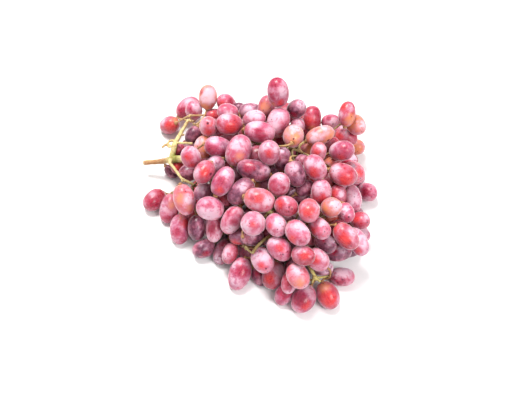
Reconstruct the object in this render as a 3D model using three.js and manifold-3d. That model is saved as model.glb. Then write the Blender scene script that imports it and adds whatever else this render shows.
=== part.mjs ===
// A bunch of elongated pink-red grapes lying on its side.
// Millimetres, +Z up, resting on Z = 0, origin below the middle of the bunch.
//
// The bunch grew as one piece: a woody peduncle runs into a green stem that
// forks, and every berry hangs from it on its own short pedicel. The stem is
// one piece here, and each side branch with its pedicels and the berries that
// it carries is another.
import * as THREE from 'three';
import Module from 'manifold-3d';

const wasm = await Module();
wasm.setup();

// ---- driving dimensions -------------------------------------------------
const STEM_SIDES = 6;        // facets round the main stem
const PEDICEL_SIDES = 3;     // facets round a pedicel
const STEM_GAP = 0.4;        // air between the main stem and a side branch
const SLIVER = 0.1;          // finest facet detail kept
const REST_Z = 0;            // the lowest berries are pressed flat here
const SWELL = 1.035;         // lets the facets straddle the true berry skin
const NODE_SWELLING = [-74.0, 30.6, 22.0, 4.2, 3.1]; // knuckle where the stem forks: centre, half length, half width

// Main stem and the bare side stems: points along each one, [x, y, z, radius].

const RACHIS = [
  [[-101.23, 33.9, 13, 2.1], [-88.15, 33.01, 15.56, 2.2], [-80.7, 31.66, 19.13, 2.6], [-74.96, 29.53, 23.25, 3], [-70.55, 29.67, 24.47, 2.9]],
  [[-70.55, 29.67, 24.47, 2.9], [-59.23, 23.34, 30.73, 2.76], [-56.95, 21.65, 31.38, 2.73], [-36.22, 2.98, 32.3, 2.5], [-12.25, -15.34, 34.76, 2.38], [5.19, -29.91, 34.91, 2.22], [17.42, -42.51, 34.34, 2.09], [24.5, -51.23, 33.11, 2], [30, -59.75, 30.56, 1.87], [39.29, -76.54, 24, 1.5]],
  [[-74.96, 29.53, 23.25, 3], [-75.23, 33.32, 23.31, 2.5], [-72.94, 38.69, 28.91, 2.4], [-72.76, 40.46, 30.57, 2.35], [-71.54, 49.5, 25.94, 1.95], [-68.4, 55.94, 27.28, 1.75], [-65.11, 62.53, 29.02, 1.5], [-62.08, 67.72, 31.74, 1.25]],
  [[-74.96, 29.53, 23.25, 3], [-76.75, 23.19, 27.19, 1.3], [-73.21, 19.73, 26.09, 1.2], [-66.6, 9.01, 26.19, 1.1], [-63.96, 5.92, 25.4, 0.9]],
  [[39.29, -76.54, 24, 1.5], [44.03, -83.86, 18, 1.1], [49.37, -81.99, 15.74, 0.9], [54.2, -80.53, 15.22, 0.8]],
  [[-73.28, 37.89, 28.08, 1.3], [-79.99, 44.59, 26.61, 1.2], [-84.47, 42.35, 23.85, 0.95]],
  [[-63.96, 5.92, 25.4, 1.2], [-57.97, 3.59, 25, 1.1], [-52.01, -0.05, 23.58, 1]],
  [[44.03, -83.86, 18, 0.9], [47.83, -86.68, 17.49, 0.9]],
  [[43.27, -82.69, 18.96, 0.9], [41.36, -86.65, 15, 0.8]],
  [[16.79, 25.91, 44.78, 1.2], [25.9, 23.84, 46, 1.2], [31.65, 21.38, 46, 1.1], [42.19, 14.82, 46, 0.9]],
  [[-7.46, 20.64, 42, 1.1], [-4.12, 23.32, 44, 1.1], [-0.78, 26.8, 45, 1]],
  [[-10.2, -66.34, 35.68, 0.8], [-7.86, -69.96, 35.71, 0.8], [-5.14, -72.79, 37.44, 0.7]],
  [[29.51, 22.3, 46, 0.9], [27.12, 16.69, 52.22, 0.8], [27.32, 12.17, 50, 0.8], [29.48, 8.15, 48.49, 0.8]],
  [[36.8, 18.17, 46, 0.9], [32.3, 10.95, 59.98, 0.8], [32.61, 13.25, 63.54, 0.7], [36.3, 15.45, 64.03, 0.7]],
  [[16.79, 25.91, 44.78, 1.2], [4.8, 11.87, 41.8, 1.2], [-7.2, -0.13, 40.62, 1.2], [-17.74, -11.15, 34.2, 1.2]],
  [[-7.46, 20.64, 42, 1.2], [-11.65, 16.17, 36.92, 1.2], [-14.04, 11.85, 34.49, 1.2], [-16.91, 5.87, 33.8, 1.2], [-26.66, -4.33, 33.28, 1.2]],
  [[-5.14, -72.79, 37.44, 1.2], [-2.24, -67.53, 38.16, 1.2], [6.3, -59.08, 38.25, 1.2], [13.83, -53.7, 37.68, 1.2], [20.97, -46.88, 33.72, 1.2]],
  [[42.3, 14.87, 36.75, 1.02], [42.3, 14.87, 42.75, 1.02]],
  [[42.3, 14.87, 42.75, 1.29], [42.19, 14.82, 46, 1.29]],
  [[42.3, -42.13, 33.75, 1.02], [36.3, -44.59, 33.75, 1.02], [28.8, -51.13, 33.75, 1.02]],
  [[-24.75, -5.78, 33.47, 1.11], [-24.74, -5.79, 33.48, 1.11]],
  [[-1.2, 32.87, 45.75, 1.5], [-0.78, 26.8, 45, 1.5]],
  [[38.65, -75.38, 24.46, 1.02], [39.29, -76.54, 24, 1.02]],
  [[0.3, 53.87, 42.75, 1.02], [0.12, 47.87, 42.99, 1.02], [-1.2, 40.37, 45.75, 1.02]],
  [[28.8, -51.13, 33.75, 1.47], [24.74, -51.6, 33, 1.47]],
  [[32.39, -64.07, 28.87, 1.02], [32.34, -63.97, 28.91, 1.02]],
  [[-10.2, -66.13, 32.25, 1.11], [-10.2, -66.34, 35.68, 1.11]],
  [[16.79, 25.91, 44.78, 1.02], [16.27, 25.3, 44.65, 1.02]],
  [[43.09, 14.83, 45.07, 1.2], [42.19, 14.82, 46, 1.2]],
  [[42.3, 8.87, 45.75, 1.02], [42.19, 14.82, 46, 1.02]],
  [[42.3, 37.37, 38.25, 1.02], [35.45, 29.87, 44.43, 1.02], [32.35, 20.95, 46, 1.02]],
  [[45.3, 14.87, 42.75, 1.11], [42.19, 14.82, 46, 1.11]],
  [[-1.2, 40.37, 45.75, 1.29], [-1.2, 32.87, 45.75, 1.29]],
  [[-59.7, 65.87, 30.75, 1.02], [-62.08, 67.72, 31.74, 1.02]],
  [[-72.38, 43.27, 29.13, 1.15], [-69.34, 41.13, 31.5, 1.1], [-65.94, 38.67, 34.5, 1], [-61.16, 35.38, 38.5, 0.95], [-56.49, 31.96, 42, 1]],
  [[-71.97, 46.29, 27.59, 1.2], [-77.17, 46.74, 28.5, 1], [-79.27, 43.67, 28, 0.95], [-78.95, 40.13, 27, 0.9], [-75.85, 40.46, 27.51, 0.85]],
];

// Side branches. A berry is [centre x, y, z, direction of its blossom end x, y, z,
// half length, half width, facets round it, bands of facets along it]; its pedicel
// and the branch stems are lines of [x, y, z, radius].
const CLUSTERS = [
  { colour: 0xd16575,
    berries: [[-89.39, -2.14, 7.48, -0.63, -0.77, 0.09, 10.6, 8.15, 7, 5], [-75.93, -11.41, 8.55, -0.21, -0.82, -0.53, 12.39, 7.65, 7, 5]],
    pedicels: [[[-79.8, 5.67, 5.8, 0.78], [-77.5, 4.52, 6.95, 0.78], [-71.75, 1.07, 12.7, 0.78], [-72.02, -0.73, 16.81, 0.54]], [[-72.02, -0.73, 16.81, 0.83], [-68.7, 2.87, 21.75, 0.82], [-67.2, 2.87, 23.25, 0.82]]],
    stems: [[[-67.5, 2.64, 23.13, 0.8], [-66.35, 3.53, 23.59, 0.75]]] },
  { colour: 0xaa465e,
    berries: [[-77.57, 30.58, 4.7, 0.7, -0.51, -0.49, 6.96, 4.79, 6, 5], [-70.79, 41.53, 20, 0.43, 0.08, 0.9, 7.46, 5.66, 6, 5], [-61.18, 53.5, 9.97, 0.54, 0.76, -0.36, 11.4, 8.53, 6, 4]],
    pedicels: [[[-83.7, 35.87, 11.25, 0.8], [-77.35, 34.28, 17.6, 0.72]], [[-76.2, 40.37, 11.25, 0.8], [-77.79, 34.02, 17.6, 0.72]], [[-67.17, 41.85, 12.68, 0.8], [-71.66, 37.74, 12.44, 0.72], [-78.06, 34.17, 17.54, 0.72]]],
    stems: [[[-77.48, 34.63, 17.05, 0.8], [-78.08, 33.92, 17.61, 0.75]]] },
  { colour: 0xc15776,
    berries: [[-36.27, -32.64, 11.37, -0.1, -0.91, -0.41, 11.06, 8.83, 6, 4], [-35.75, -44.03, 26.75, -0.09, -0.84, -0.53, 10.44, 6.77, 7, 5], [-26.81, -20.01, 38.06, -0.02, -0.87, 0.5, 10.91, 8.09, 6, 4], [-3.69, -3.03, 13.13, 0.88, 0.21, -0.43, 12.01, 8.86, 6, 4]],
    pedicels: [[[-23.47, -5.78, 29.52, 0.82]], [[-32.05, -16.63, 29.27, 0.72], [-25.2, -7.63, 29.25, 0.82], [-23.35, -5.78, 29.25, 0.82]], [[-25.2, -7.63, 29.25, 0.53]], [[-24.04, -6.16, 29.62, 0.82]]],
    stems: [[[-23.62, -6.14, 28.86, 0.8], [-23.96, -6.05, 29.99, 0.75]]] },
  { colour: 0xc0606c,
    berries: [[-60.29, -22.66, 37.44, 0.24, -0.78, -0.58, 12.51, 8.41, 7, 5], [-65.5, -32.8, 9.04, -0.07, -0.84, -0.53, 12.43, 8.42, 7, 5], [-50.97, -36.61, 17.6, 0, -0.84, -0.54, 10.34, 7.16, 6, 5], [-50.04, 3.13, 9.77, 0.08, -0.73, -0.68, 11.96, 9.01, 6, 4], [-59.75, -13.63, 8.11, 0.12, -0.85, -0.52, 10.54, 8.08, 6, 4]],
    pedicels: [[[-66, -10.19, 41.93, 0.78], [-56.31, -10.64, 27.26, 0.72]], [[-55.2, -4.63, 26.25, 0.53]], [[-55.95, -16.63, 27.55, 0.72], [-56.64, -10.13, 27.68, 0.72]], [[-50.7, 13.37, 20.25, 0.8], [-51.31, 4.35, 25.72, 0.72], [-55.14, -1.66, 26.48, 0.82], [-55.2, -4.63, 26.25, 0.82], [-56.7, -11.1, 27.79, 0.72]], [[-55.14, -1.66, 26.48, 0.53]]],
    stems: [[[-55.35, -1.91, 26.49, 0.8], [-54.5, -0.54, 25.26, 0.75]]] },
  { colour: 0x9f5668,
    berries: [[-45.24, -16.44, 39.32, -0.48, -0.84, 0.26, 8.64, 6.64, 6, 5], [-36.37, 1.36, 50.7, -0.72, -0.69, -0.12, 9.1, 7, 7, 5], [-46.54, -9.71, 25.34, -0.6, -0.7, -0.39, 10.15, 7.93, 6, 4]],
    pedicels: [[[-38.9, -0.06, 32.43, 0.8]], [[-28.2, 8.87, 51.75, 0.8], [-29.58, 7.87, 47.35, 0.72], [-39.26, -0.72, 32.26, 0.8]], [[-38.81, -0.21, 32.99, 0.8]]],
    stems: [[[-38.95, -0.44, 32.28, 0.8], [-38.46, 0.15, 32.2, 0.75]]] },
  { colour: 0xb7576e,
    berries: [[-28.51, -19.62, 57.96, 0.47, 0.72, 0.51, 12.07, 7.73, 7, 5], [-16.61, 8.89, 60.9, 0.37, 0.73, 0.57, 12.96, 9.48, 7, 5], [-43.34, -11.65, 59.62, -0.49, -0.87, -0.08, 9.89, 7.6, 7, 5], [-18.78, -0.45, 43.43, 0.49, 0.54, 0.68, 8.05, 6.19, 6, 4]],
    pedicels: [[[-34.29, -28.5, 49.93, 0.8], [-34, -16.68, 44.49, 0.72], [-32.68, -13.6, 43.09, 0.77]], [[-28.2, -3.13, 45.75, 0.82], [-28.19, -3.12, 38.29, 0.53]], [[-37.66, -1.64, 60.05, 0.78], [-43.41, -0.49, 56.6, 0.78], [-45.71, -5.09, 52, 0.78], [-32.51, -14.27, 43.04, 0.77]], [[-28.19, -3.12, 38.29, 0.82], [-33.05, -14.45, 43.47, 0.77]]],
    stems: [[[-28.22, -3.1, 38.65, 0.8], [-28.12, -3.32, 36.7, 0.75]]] },
  { colour: 0xba5567,
    berries: [[-41.66, -14.98, 10.08, -0.59, -0.59, -0.55, 10.39, 7.81, 6, 4], [-25.33, 11.5, 36.62, 0.64, 0.27, 0.72, 11.35, 8.36, 6, 4], [-27.07, -3.46, 11.89, 0.49, -0.05, -0.87, 10.68, 8.12, 6, 4], [-18.95, 12.99, 13.37, 0.8, 0.54, -0.25, 10.8, 8.42, 6, 4]],
    pedicels: [[[-37.22, 1.7, 28.13, 0.82]], [[-35.7, 4.37, 26.25, 0.53]], [[-37.47, 1.58, 28.12, 0.82]], [[-35.7, 4.37, 26.25, 0.82], [-37.4, 0.96, 27.95, 0.82]]],
    stems: [[[-37.22, 2.85, 27.35, 0.8], [-37.17, 2.89, 28.73, 0.75]]] },
  { colour: 0xcb6984,
    berries: [[-27.69, 31.21, 40.17, 0.84, 0.51, 0.18, 11.99, 8.99, 6, 4], [-55.13, 6.79, 55.1, -0.19, 0.12, 0.97, 10.38, 7.98, 7, 5]],
    pedicels: [[[-48.21, 9.32, 39.04, 0.72]], [[-47.65, 9.93, 38.65, 0.72]]],
    stems: [[[-44.61, 11.95, 35.63, 0.8], [-44.7, 11.92, 35.46, 0.75]]] },
  { colour: 0xb3666d,
    berries: [[-59.73, 16.94, 22, -0.74, -0.66, 0.12, 9.71, 7.44, 6, 5], [-46.37, 26.88, 43.2, -0.14, -0.95, -0.28, 9.96, 7.66, 6, 5], [-33.4, 18.06, 54.49, 0.98, -0.13, -0.17, 11.54, 8.16, 7, 5]],
    pedicels: [[[-49.2, 25.37, 20.25, 0.8], [-49.41, 23.03, 31.43, 0.72], [-55.12, 19.67, 36.52, 0.72]], [[-46.42, 39.26, 45.67, 0.8], [-54.11, 33.15, 38.77, 0.72], [-54.8, 19.39, 36.12, 0.72]], [[-53.94, 19.37, 47.25, 0.72], [-54.81, 19.9, 35.71, 0.72]]],
    stems: [[[-55.27, 19.34, 35.64, 0.8], [-55.16, 19.37, 35.26, 0.75]]] },
  { colour: 0xca6e82,
    berries: [[-53.49, 37.21, 9.42, 0.49, 0.28, -0.82, 10.81, 8.5, 6, 4], [-68.79, 28.42, 14.06, -0.81, -0.36, 0.47, 8.36, 6.43, 6, 5], [-35.47, 36.01, 13.57, 0.9, 0.41, -0.16, 10.18, 7.82, 6, 4]],
    pedicels: [[[-61.09, 28.51, 28.06, 0.72]], [[-59.97, 29.53, 8.14, 0.8], [-59.73, 27.62, 14.24, 0.72], [-61.02, 28.78, 28.13, 0.72]], [[-61.37, 28.66, 27.92, 0.72]]],
    stems: [[[-60.96, 28.73, 27.76, 0.8], [-60.98, 28.59, 27.47, 0.75]]] },
  { colour: 0xd0656d,
    berries: [[-42.24, 39.23, 55.59, 0.05, -0.08, 1, 9.38, 7.22, 7, 5], [-35.85, 19.42, 13.06, 0.73, 0.26, -0.63, 10.65, 7.99, 6, 4], [-35.86, 47.29, 40.79, 0.77, 0.45, 0.44, 11.8, 8.69, 6, 4], [-17.76, 46.75, 14.1, 0.75, 0.54, -0.38, 10.86, 7.95, 6, 4]],
    pedicels: [[[-44.7, 38.87, 42.75, 0.8], [-50.05, 34.2, 36.93, 0.72], [-52.2, 28.37, 32.25, 0.53]], [[-54.02, 24.06, 31.09, 0.82]], [[-52.2, 28.37, 32.25, 0.82], [-53.85, 23.42, 30.6, 0.82]], [[-40.2, 28.96, 30, 0.72], [-54.17, 23.69, 30.78, 0.82]]],
    stems: [[[-53.51, 24.22, 30.73, 0.8], [-53.63, 23.67, 30.64, 0.75]]] },
  { colour: 0xb3607a,
    berries: [[-56.99, 48.01, 34, -0.5, -0.69, -0.52, 8.41, 6.43, 6, 5], [-21.07, 62.15, 7.34, 0.92, 0.34, -0.19, 10.62, 7.93, 6, 4], [-17.62, 63.28, 24.91, 0.77, 0.5, 0.4, 10.54, 7.99, 6, 4]],
    pedicels: [[[-51.88, 55.51, 39.6, 0.78], [-50.73, 56.66, 38.45, 0.78], [-49.58, 65.86, 31.55, 0.78], [-43.83, 68.16, 25.8, 0.78], [-39.68, 65.77, 21.52, 0.82]], [[-40.3, 66.14, 22.2, 0.82]], [[-40.46, 66.16, 21.86, 0.82]]],
    stems: [[[-57.92, 65.87, 32.53, 0.8], [-58.19, 65.87, 32.26, 0.75]]] },
  { colour: 0xd67079,
    berries: [[-49.03, 72.49, 9.71, 0.42, 0.86, -0.28, 11.21, 8.21, 6, 4], [-42.83, 55.7, 11.71, 0.65, 0.47, -0.6, 10.99, 8, 6, 4], [-42.85, 58.46, 29.3, 0.83, 0.48, 0.29, 10.96, 8.17, 6, 4]],
    pedicels: [[[-65.7, 52.37, 29.25, 0.82], [-57.74, 52.37, 26.06, 0.82]], [[-58.56, 52.41, 26.6, 0.82]], [[-58.69, 52.27, 26.23, 0.82]]],
    stems: [[[-65.36, 52.28, 29.44, 0.8], [-67.24, 52.71, 28.38, 0.75]]] },
  { colour: 0xd16575,
    berries: [[-39.79, 80.14, 22.59, -0.83, -0.37, 0.41, 8.54, 6.57, 6, 5], [-58.57, 85.09, 24.2, 0, 0.01, 1, 9.77, 7.51, 7, 5], [-65.46, 97.52, 13.8, 0.74, 0.54, 0.4, 12.23, 9.06, 7, 5], [-81.89, 81.1, 8.69, -0.64, 0.34, -0.69, 10.58, 8.14, 7, 5]],
    pedicels: [[[-31.18, 85.42, 18.72, 0.8], [-38.68, 88.16, 18.72, 0.72], [-44.64, 86.11, 19.34, 0.72], [-51.05, 79.41, 23.7, 0.72], [-61.57, 73.15, 31.01, 0.92]], [[-58.2, 83.87, 11.25, 0.8], [-60.67, 78.12, 15.97, 0.72], [-61.2, 74.87, 21.75, 0.82], [-61.2, 73.29, 31.24, 0.92]], [[-76.2, 89.87, 8.25, 0.8], [-61.2, 74.87, 21.75, 0.53]], [[-60.86, 73.26, 31.11, 0.92]]],
    stems: [[[-61.1, 70.68, 33.98, 0.8], [-61.54, 69.35, 32.97, 0.75]]] },
  { colour: 0xd68595,
    berries: [[-29.1, 88.61, 29.73, -0.48, -0.1, 0.87, 10.22, 7.86, 6, 5], [-27.31, 81.31, 8.03, 0.76, 0.65, -0.07, 11.95, 8.71, 6, 4], [-45.62, 90.86, 35.47, 0.07, 0.73, 0.68, 10.96, 8.11, 7, 5]],
    pedicels: [[[-22.2, 89.87, 18.75, 0.8], [-35.7, 72.12, 23.21, 0.72], [-47.71, 68.25, 23.3, 0.72], [-53.71, 64.38, 24.74, 0.53]], [[-44.79, 65.69, 18.35, 0.72], [-53.71, 64.38, 24.74, 0.82], [-56.7, 64.37, 27.75, 0.92], [-56.7, 64.37, 29.25, 0.92]], [[-50.52, 71.87, 26.26, 0.72], [-56.7, 64.37, 27.75, 0.6]]],
    stems: [[[-56.37, 64.21, 29.09, 0.8], [-58, 65.02, 29.9, 0.75]]] },
  { colour: 0xb7576e,
    berries: [[-23.14, -61.14, 17.55, -0.34, -0.81, -0.47, 8.58, 6.01, 6, 5], [-15.52, -75.13, 9.07, -0.31, -0.83, -0.46, 13.09, 8.66, 7, 5], [-0.62, -75.38, 4.85, 0.5, -0.76, -0.42, 7.93, 4.9, 6, 5], [15.56, -70.94, 41.06, 0.66, -0.75, -0.06, 10.61, 8.16, 7, 5]],
    pedicels: [[[-21.31, -51.83, 21.34, 0.78], [-16.71, -47.23, 19.04, 0.78], [-7.51, -50.68, 21.34, 0.78], [-2.91, -59.88, 22.49, 0.78], [-3.42, -60.91, 22.47, 0.81]], [[-6.87, -64.26, 16.02, 0.78], [-5.72, -66.56, 17.17, 0.78], [-5.62, -68.19, 17.57, 0.55]], [[-5.62, -68.19, 17.57, 0.84], [-6.48, -67.06, 22.32, 0.83], [-2.98, -60.02, 22.49, 0.81]], [[7.1, -62.18, 39.4, 0.78], [7.1, -63.33, 29.05, 0.78], [-3.61, -60.35, 22.21, 0.81]]],
    stems: [[[-6.84, -64.45, 32.25, 0.8], [-8.21, -65.14, 32.25, 0.75]]] },
  { colour: 0x9f677f,
    berries: [[-5.26, -57.63, 36.61, 0.84, 0.29, -0.45, 8.75, 6.73, 7, 5], [2.56, -75.35, 31.17, 0.36, -0.93, 0.06, 10.61, 8.13, 7, 5], [-15.73, -51.52, 26.68, -0.97, -0.13, 0.21, 7.87, 6.05, 6, 5], [11.88, -60.3, 8.83, 0.37, -0.58, -0.73, 10.66, 8.07, 6, 4], [-45.18, -50.4, 6.97, -0.84, -0.5, 0.2, 9.83, 7.56, 7, 5], [-29.25, -53.75, 7.23, -0.42, -0.79, -0.45, 10.62, 7.08, 7, 5]],
    pedicels: [[[-13.08, -58.05, 44.24, 0.78], [-11.93, -54.6, 43.09, 0.78], [-11.93, -51.15, 35.04, 0.78], [-6.18, -52.3, 28.14, 0.78], [-6.56, -52.84, 25.82, 0.53]], [[-7.2, -63.13, 29.25, 0.82], [-12.14, -63.15, 32.52, 0.82]], [[-5.7, -51.13, 24.75, 0.52]], [[7.1, -53.43, 18.22, 0.78], [-5.7, -51.13, 24.75, 0.8], [-6.56, -52.84, 25.82, 0.81], [-11.92, -63.54, 32.49, 0.82]], [[-35.43, -44.25, 8.1, 0.78], [-31.98, -44.25, 12.7, 0.78], [-29.68, -40.8, 16.15, 0.78], [-25.08, -41.95, 16.15, 0.78], [-23.11, -44.44, 14.68, 0.49]], [[-23.7, -43.63, 14.25, 0.8], [-23.11, -44.44, 14.68, 0.76], [-12.96, -58.39, 22.15, 0.72], [-11.67, -63.36, 32.69, 0.82]]],
    stems: [[[-11.88, -62.77, 32.25, 0.8], [-11.19, -64.14, 32.25, 0.75]]] },
  { colour: 0xd88798,
    berries: [[-4.59, -56.74, 54.35, -0.24, -0.53, 0.81, 11.71, 9.01, 7, 5], [9.22, -49.91, 29, 0.33, -0.8, -0.5, 11.88, 8.82, 6, 4], [4.1, -38.69, 13.06, -0.42, -0.43, -0.8, 11.42, 8.88, 6, 4], [-8.45, -53.68, 8.95, -0.02, -0.76, -0.65, 11.01, 8.5, 6, 4]],
    pedicels: [[[5.96, -34.73, 33.15, 0.72]], [[5.78, -34.6, 33.38, 0.72]], [[5.68, -35.12, 33.92, 0.72]], [[6.05, -34.87, 33.79, 0.72]]],
    stems: [[[5.86, -35.05, 33.51, 0.8], [5.86, -34.96, 33.5, 0.75]]] },
  { colour: 0xb26c7c,
    berries: [[-21.13, -43.29, 39.21, -0.5, -0.73, -0.46, 11.92, 7.88, 7, 5], [0.1, -37.44, 57.94, 0.97, -0.21, -0.14, 12.15, 9.11, 7, 5], [-14.31, -25.42, 52.52, -0.71, -0.58, -0.4, 12.11, 7.95, 7, 5], [-3.3, -21.77, 10.1, 0.43, -0.24, -0.87, 11.45, 8.45, 6, 4]],
    pedicels: [[[-11.82, -29.53, 42.7, 0.83], [-7.2, -22.63, 41.25, 0.82], [-6, -20.55, 39.98, 0.82]], [[-13.05, -33.66, 56.7, 0.78], [-11.9, -34.81, 53.25, 0.78], [-9.6, -33.66, 46.35, 0.78], [-11.82, -29.53, 42.7, 0.54]], [[-2.92, -17.65, 54.33, 0.78], [-4.07, -17.65, 52.03, 0.78], [-6.31, -21.06, 39.74, 0.82]], [[-3.83, -16.39, 32.58, 0.72], [-4.96, -18.74, 38.88, 0.82], [-6.44, -21.31, 40.45, 0.82]]],
    stems: [[[-5.62, -19.59, 38.64, 0.8], [-5.75, -19.59, 38.13, 0.75]]] },
  { colour: 0xc98a98,
    berries: [[2.42, -12.42, 43.27, 0.79, -0.36, 0.49, 8.59, 6.6, 6, 4], [-22.45, -32.92, 25.68, -0.3, -0.95, -0.01, 10.41, 7.84, 6, 4], [-21.38, -19.79, 10.53, -0.09, -0.33, -0.94, 11.56, 8.39, 6, 4], [-38.5, -36.21, 44.52, -0.72, -0.25, 0.65, 11.76, 9.05, 7, 5]],
    pedicels: [[[-11.92, -13.65, 39.61, 0.72], [-17, -17.36, 35.87, 0.72]], [[-16.53, -16.83, 36.52, 0.72]], [[-16.54, -17.13, 36.62, 0.72]], [[-26.7, -31.63, 35.25, 0.8], [-18.35, -25.48, 35.25, 0.72], [-16.55, -16.62, 36.18, 0.72]]],
    stems: [[[-16.45, -16.94, 35.28, 0.8], [-16.15, -16.64, 35.38, 0.75]]] },
  { colour: 0xb7546d,
    berries: [[-4.27, -8.54, 58.02, -0.97, 0.2, 0.16, 13.26, 8.18, 7, 5], [13.13, -5.04, 25.01, 0.76, 0.63, 0.19, 11.38, 8.6, 6, 4], [23.95, 0.2, 9.92, 0.76, 0.4, -0.5, 10.26, 8.25, 6, 4], [10.19, -23.73, 24.88, 0.82, 0.38, -0.43, 10.31, 8.27, 6, 4], [-16.72, -37.29, 10.09, -0.5, -0.75, -0.43, 11.14, 8.18, 6, 4]],
    pedicels: [[[12.3, -12.13, 54.75, 0.8], [1.59, -27.57, 40.53, 0.72], [-2.08, -29.7, 34.32, 1.02], [-1.2, -28.63, 32.25, 1.02], [-1.2, -28.63, 30.25, 0.82]], [[1.8, -15.13, 21.75, 0.8], [-1.4, -25.55, 30.77, 0.82], [-1.2, -28.63, 32.25, 0.66]], [[12.11, -6.39, 13.6, 0.8], [1.81, -16.84, 21.27, 0.72], [-1.4, -25.55, 30.77, 0.53]], [[-1.63, -28.78, 30.96, 0.82]], [[-0.93, -28.59, 31.17, 0.82]]],
    stems: [[[-1.45, -28.91, 33.61, 0.8], [-1.19, -28.7, 33.74, 0.75]]] },
  { colour: 0xb66e7d,
    berries: [[-6.09, 29.97, 34.02, 0.67, 0.61, 0.42, 10.97, 8.42, 6, 4], [14.37, 17.82, 13.64, 0.58, 0.61, -0.54, 10.97, 8.2, 6, 4], [5.93, 37.33, 10.29, 0.8, 0.5, -0.34, 10.2, 7.98, 6, 4], [-1.96, 12.81, 49.73, 0.92, 0.32, 0.22, 10.26, 7.99, 6, 4], [8.05, 1.3, 68.11, -0.01, -0.04, 1, 11.08, 8.52, 7, 5]],
    pedicels: [[[-15.63, 21.28, 29.54, 0.8], [-11.21, 16.27, 43.94, 0.82]], [[-6.85, 15.82, 36.98, 0.82], [-11.63, 16.47, 43.89, 0.82]], [[-7.19, 18.52, 29.25, 0.72], [-6.85, 15.82, 36.98, 0.53]], [[-13.43, 8.89, 47.13, 0.8], [-11.23, 16.87, 43.27, 0.82]], [[7.8, 1.34, 53.24, 0.8], [-5.65, 4.95, 43.72, 0.72], [-9.47, 10.38, 41.62, 0.72], [-11.49, 16.89, 43.62, 0.82]]],
    stems: [[[-10.29, 16.14, 43.07, 0.8], [-9.85, 17.29, 41.52, 0.75]]] },
  { colour: 0xb95067,
    berries: [[-24.45, 38.55, 59.42, -0.9, -0.24, 0.37, 11.37, 8.75, 7, 5], [0.42, 27.96, 61.69, 0.98, -0.14, -0.11, 12.71, 8.68, 7, 5], [18.93, 37.43, 36, 0.96, -0.17, 0.2, 8.39, 6.45, 6, 4], [1.12, 56.45, 7.73, 0.87, 0.39, -0.3, 10.73, 8.15, 6, 4], [15.81, 60.47, 74.2, -0.11, 0.29, 0.95, 13.03, 8.98, 7, 5], [-7.48, 50.1, 34.64, 0.81, 0.59, -0.03, 10.35, 8.22, 6, 4]],
    pedicels: [[[0.3, 29.87, 48.75, 0.82], [0.87, 26.9, 47.66, 0.53]], [[-14.7, 29.87, 62.25, 0.8], [-10, 27.42, 54.76, 0.72], [-2.7, 26.87, 48.75, 0.82], [0.87, 26.9, 47.66, 0.82], [6.94, 37.25, 35.67, 0.81]], [[7.89, 38.88, 33.78, 0.8], [6.58, 36.64, 36.37, 0.81]], [[-8.59, 52.43, 15.8, 0.68], [4.09, 36.93, 35.25, 0.72], [3.7, 31.28, 42.74, 0.72], [0.87, 26.9, 47.66, 0.53]], [[17.55, 56.62, 60, 0.8], [10.55, 52.62, 52, 0.8], [6.68, 36.6, 35.67, 0.81]], [[-17.7, 41.87, 35.25, 0.8], [-2.7, 26.87, 48.75, 0.53]]],
    stems: [[[0.47, 26.88, 47.61, 0.8], [0.35, 26.87, 47.35, 0.75]]] },
  { colour: 0xdf9aad,
    berries: [[11.13, 80.71, 10.74, 0.79, 0.62, -0.02, 11.96, 8.91, 6, 4], [10.84, 56.69, 26.2, 0.88, 0.48, 0.04, 11.25, 8.21, 6, 4], [-26.89, 67.92, 41.4, -0.97, 0, 0.25, 9.5, 7.31, 7, 5], [-4.14, 49.15, 52.32, 0.77, -0.24, 0.59, 10.67, 8.21, 7, 5]],
    pedicels: [[[-1.2, 61.37, 19.6, 0.72], [-1.14, 49.33, 26.2, 0.82], [0.52, 43.92, 32.2, 0.82], [-1.2, 37.37, 42.75, 1.02], [-1.19, 35.88, 42.78, 0.93]], [[-1.14, 49.33, 26.2, 0.53]], [[-16.45, 65.82, 38.73, 0.78], [-16.45, 56.62, 39.88, 0.78], [-14.7, 52.37, 44.25, 0.8], [-5.7, 38.87, 42.75, 0.82], [-1.2, 37.37, 42.75, 0.66]], [[-14.7, 52.37, 44.25, 0.52]]],
    stems: [[[-1.14, 36.01, 42.55, 0.8], [-1.2, 35.68, 43.37, 0.75]]] },
  { colour: 0x9f5668,
    berries: [[6.38, 67.3, 48.56, 0.26, 0.71, 0.65, 10.08, 7.14, 7, 5], [-16.11, 78.22, 31.21, -0.54, 0.15, 0.83, 8.39, 6.46, 6, 5], [-7.61, 70.25, 40.06, -1, -0.01, 0.01, 9.45, 7.08, 6, 5]],
    pedicels: [[[-1.63, 56.57, 40.96, 0.72]], [[-10.2, 76.37, 23.25, 0.8], [-1.09, 56.52, 41.42, 0.72]], [[3.39, 70.32, 39.48, 0.8], [-1.41, 56.4, 41.16, 0.72]]],
    stems: [[[-1.36, 57.2, 41.09, 0.8], [-0.57, 55.61, 41.88, 0.75]]] },
  { colour: 0xce6b78,
    berries: [[23.86, 67.84, 39.58, 0.81, 0.59, 0.02, 11.71, 8.7, 6, 4], [-8.49, 77.6, 13.63, -0.63, -0.71, -0.32, 10.36, 7.89, 6, 4], [8.54, 73.73, 31.27, 0.74, 0.66, 0.15, 11.21, 8.41, 6, 4]],
    pedicels: [[[0.3, 43.37, 41.25, 0.6]], [[0.3, 86.87, 18.75, 0.8], [0.48, 67.43, 24.57, 0.72], [3.3, 53.87, 38.25, 0.53]], [[3.3, 53.87, 38.25, 0.82], [0.3, 43.37, 41.25, 0.92], [0.3, 41.87, 41.25, 0.92]]],
    stems: [[[0.4, 41.7, 40.9, 0.8], [-0.11, 42.71, 42.71, 0.75]]] },
  { colour: 0xb84668,
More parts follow.
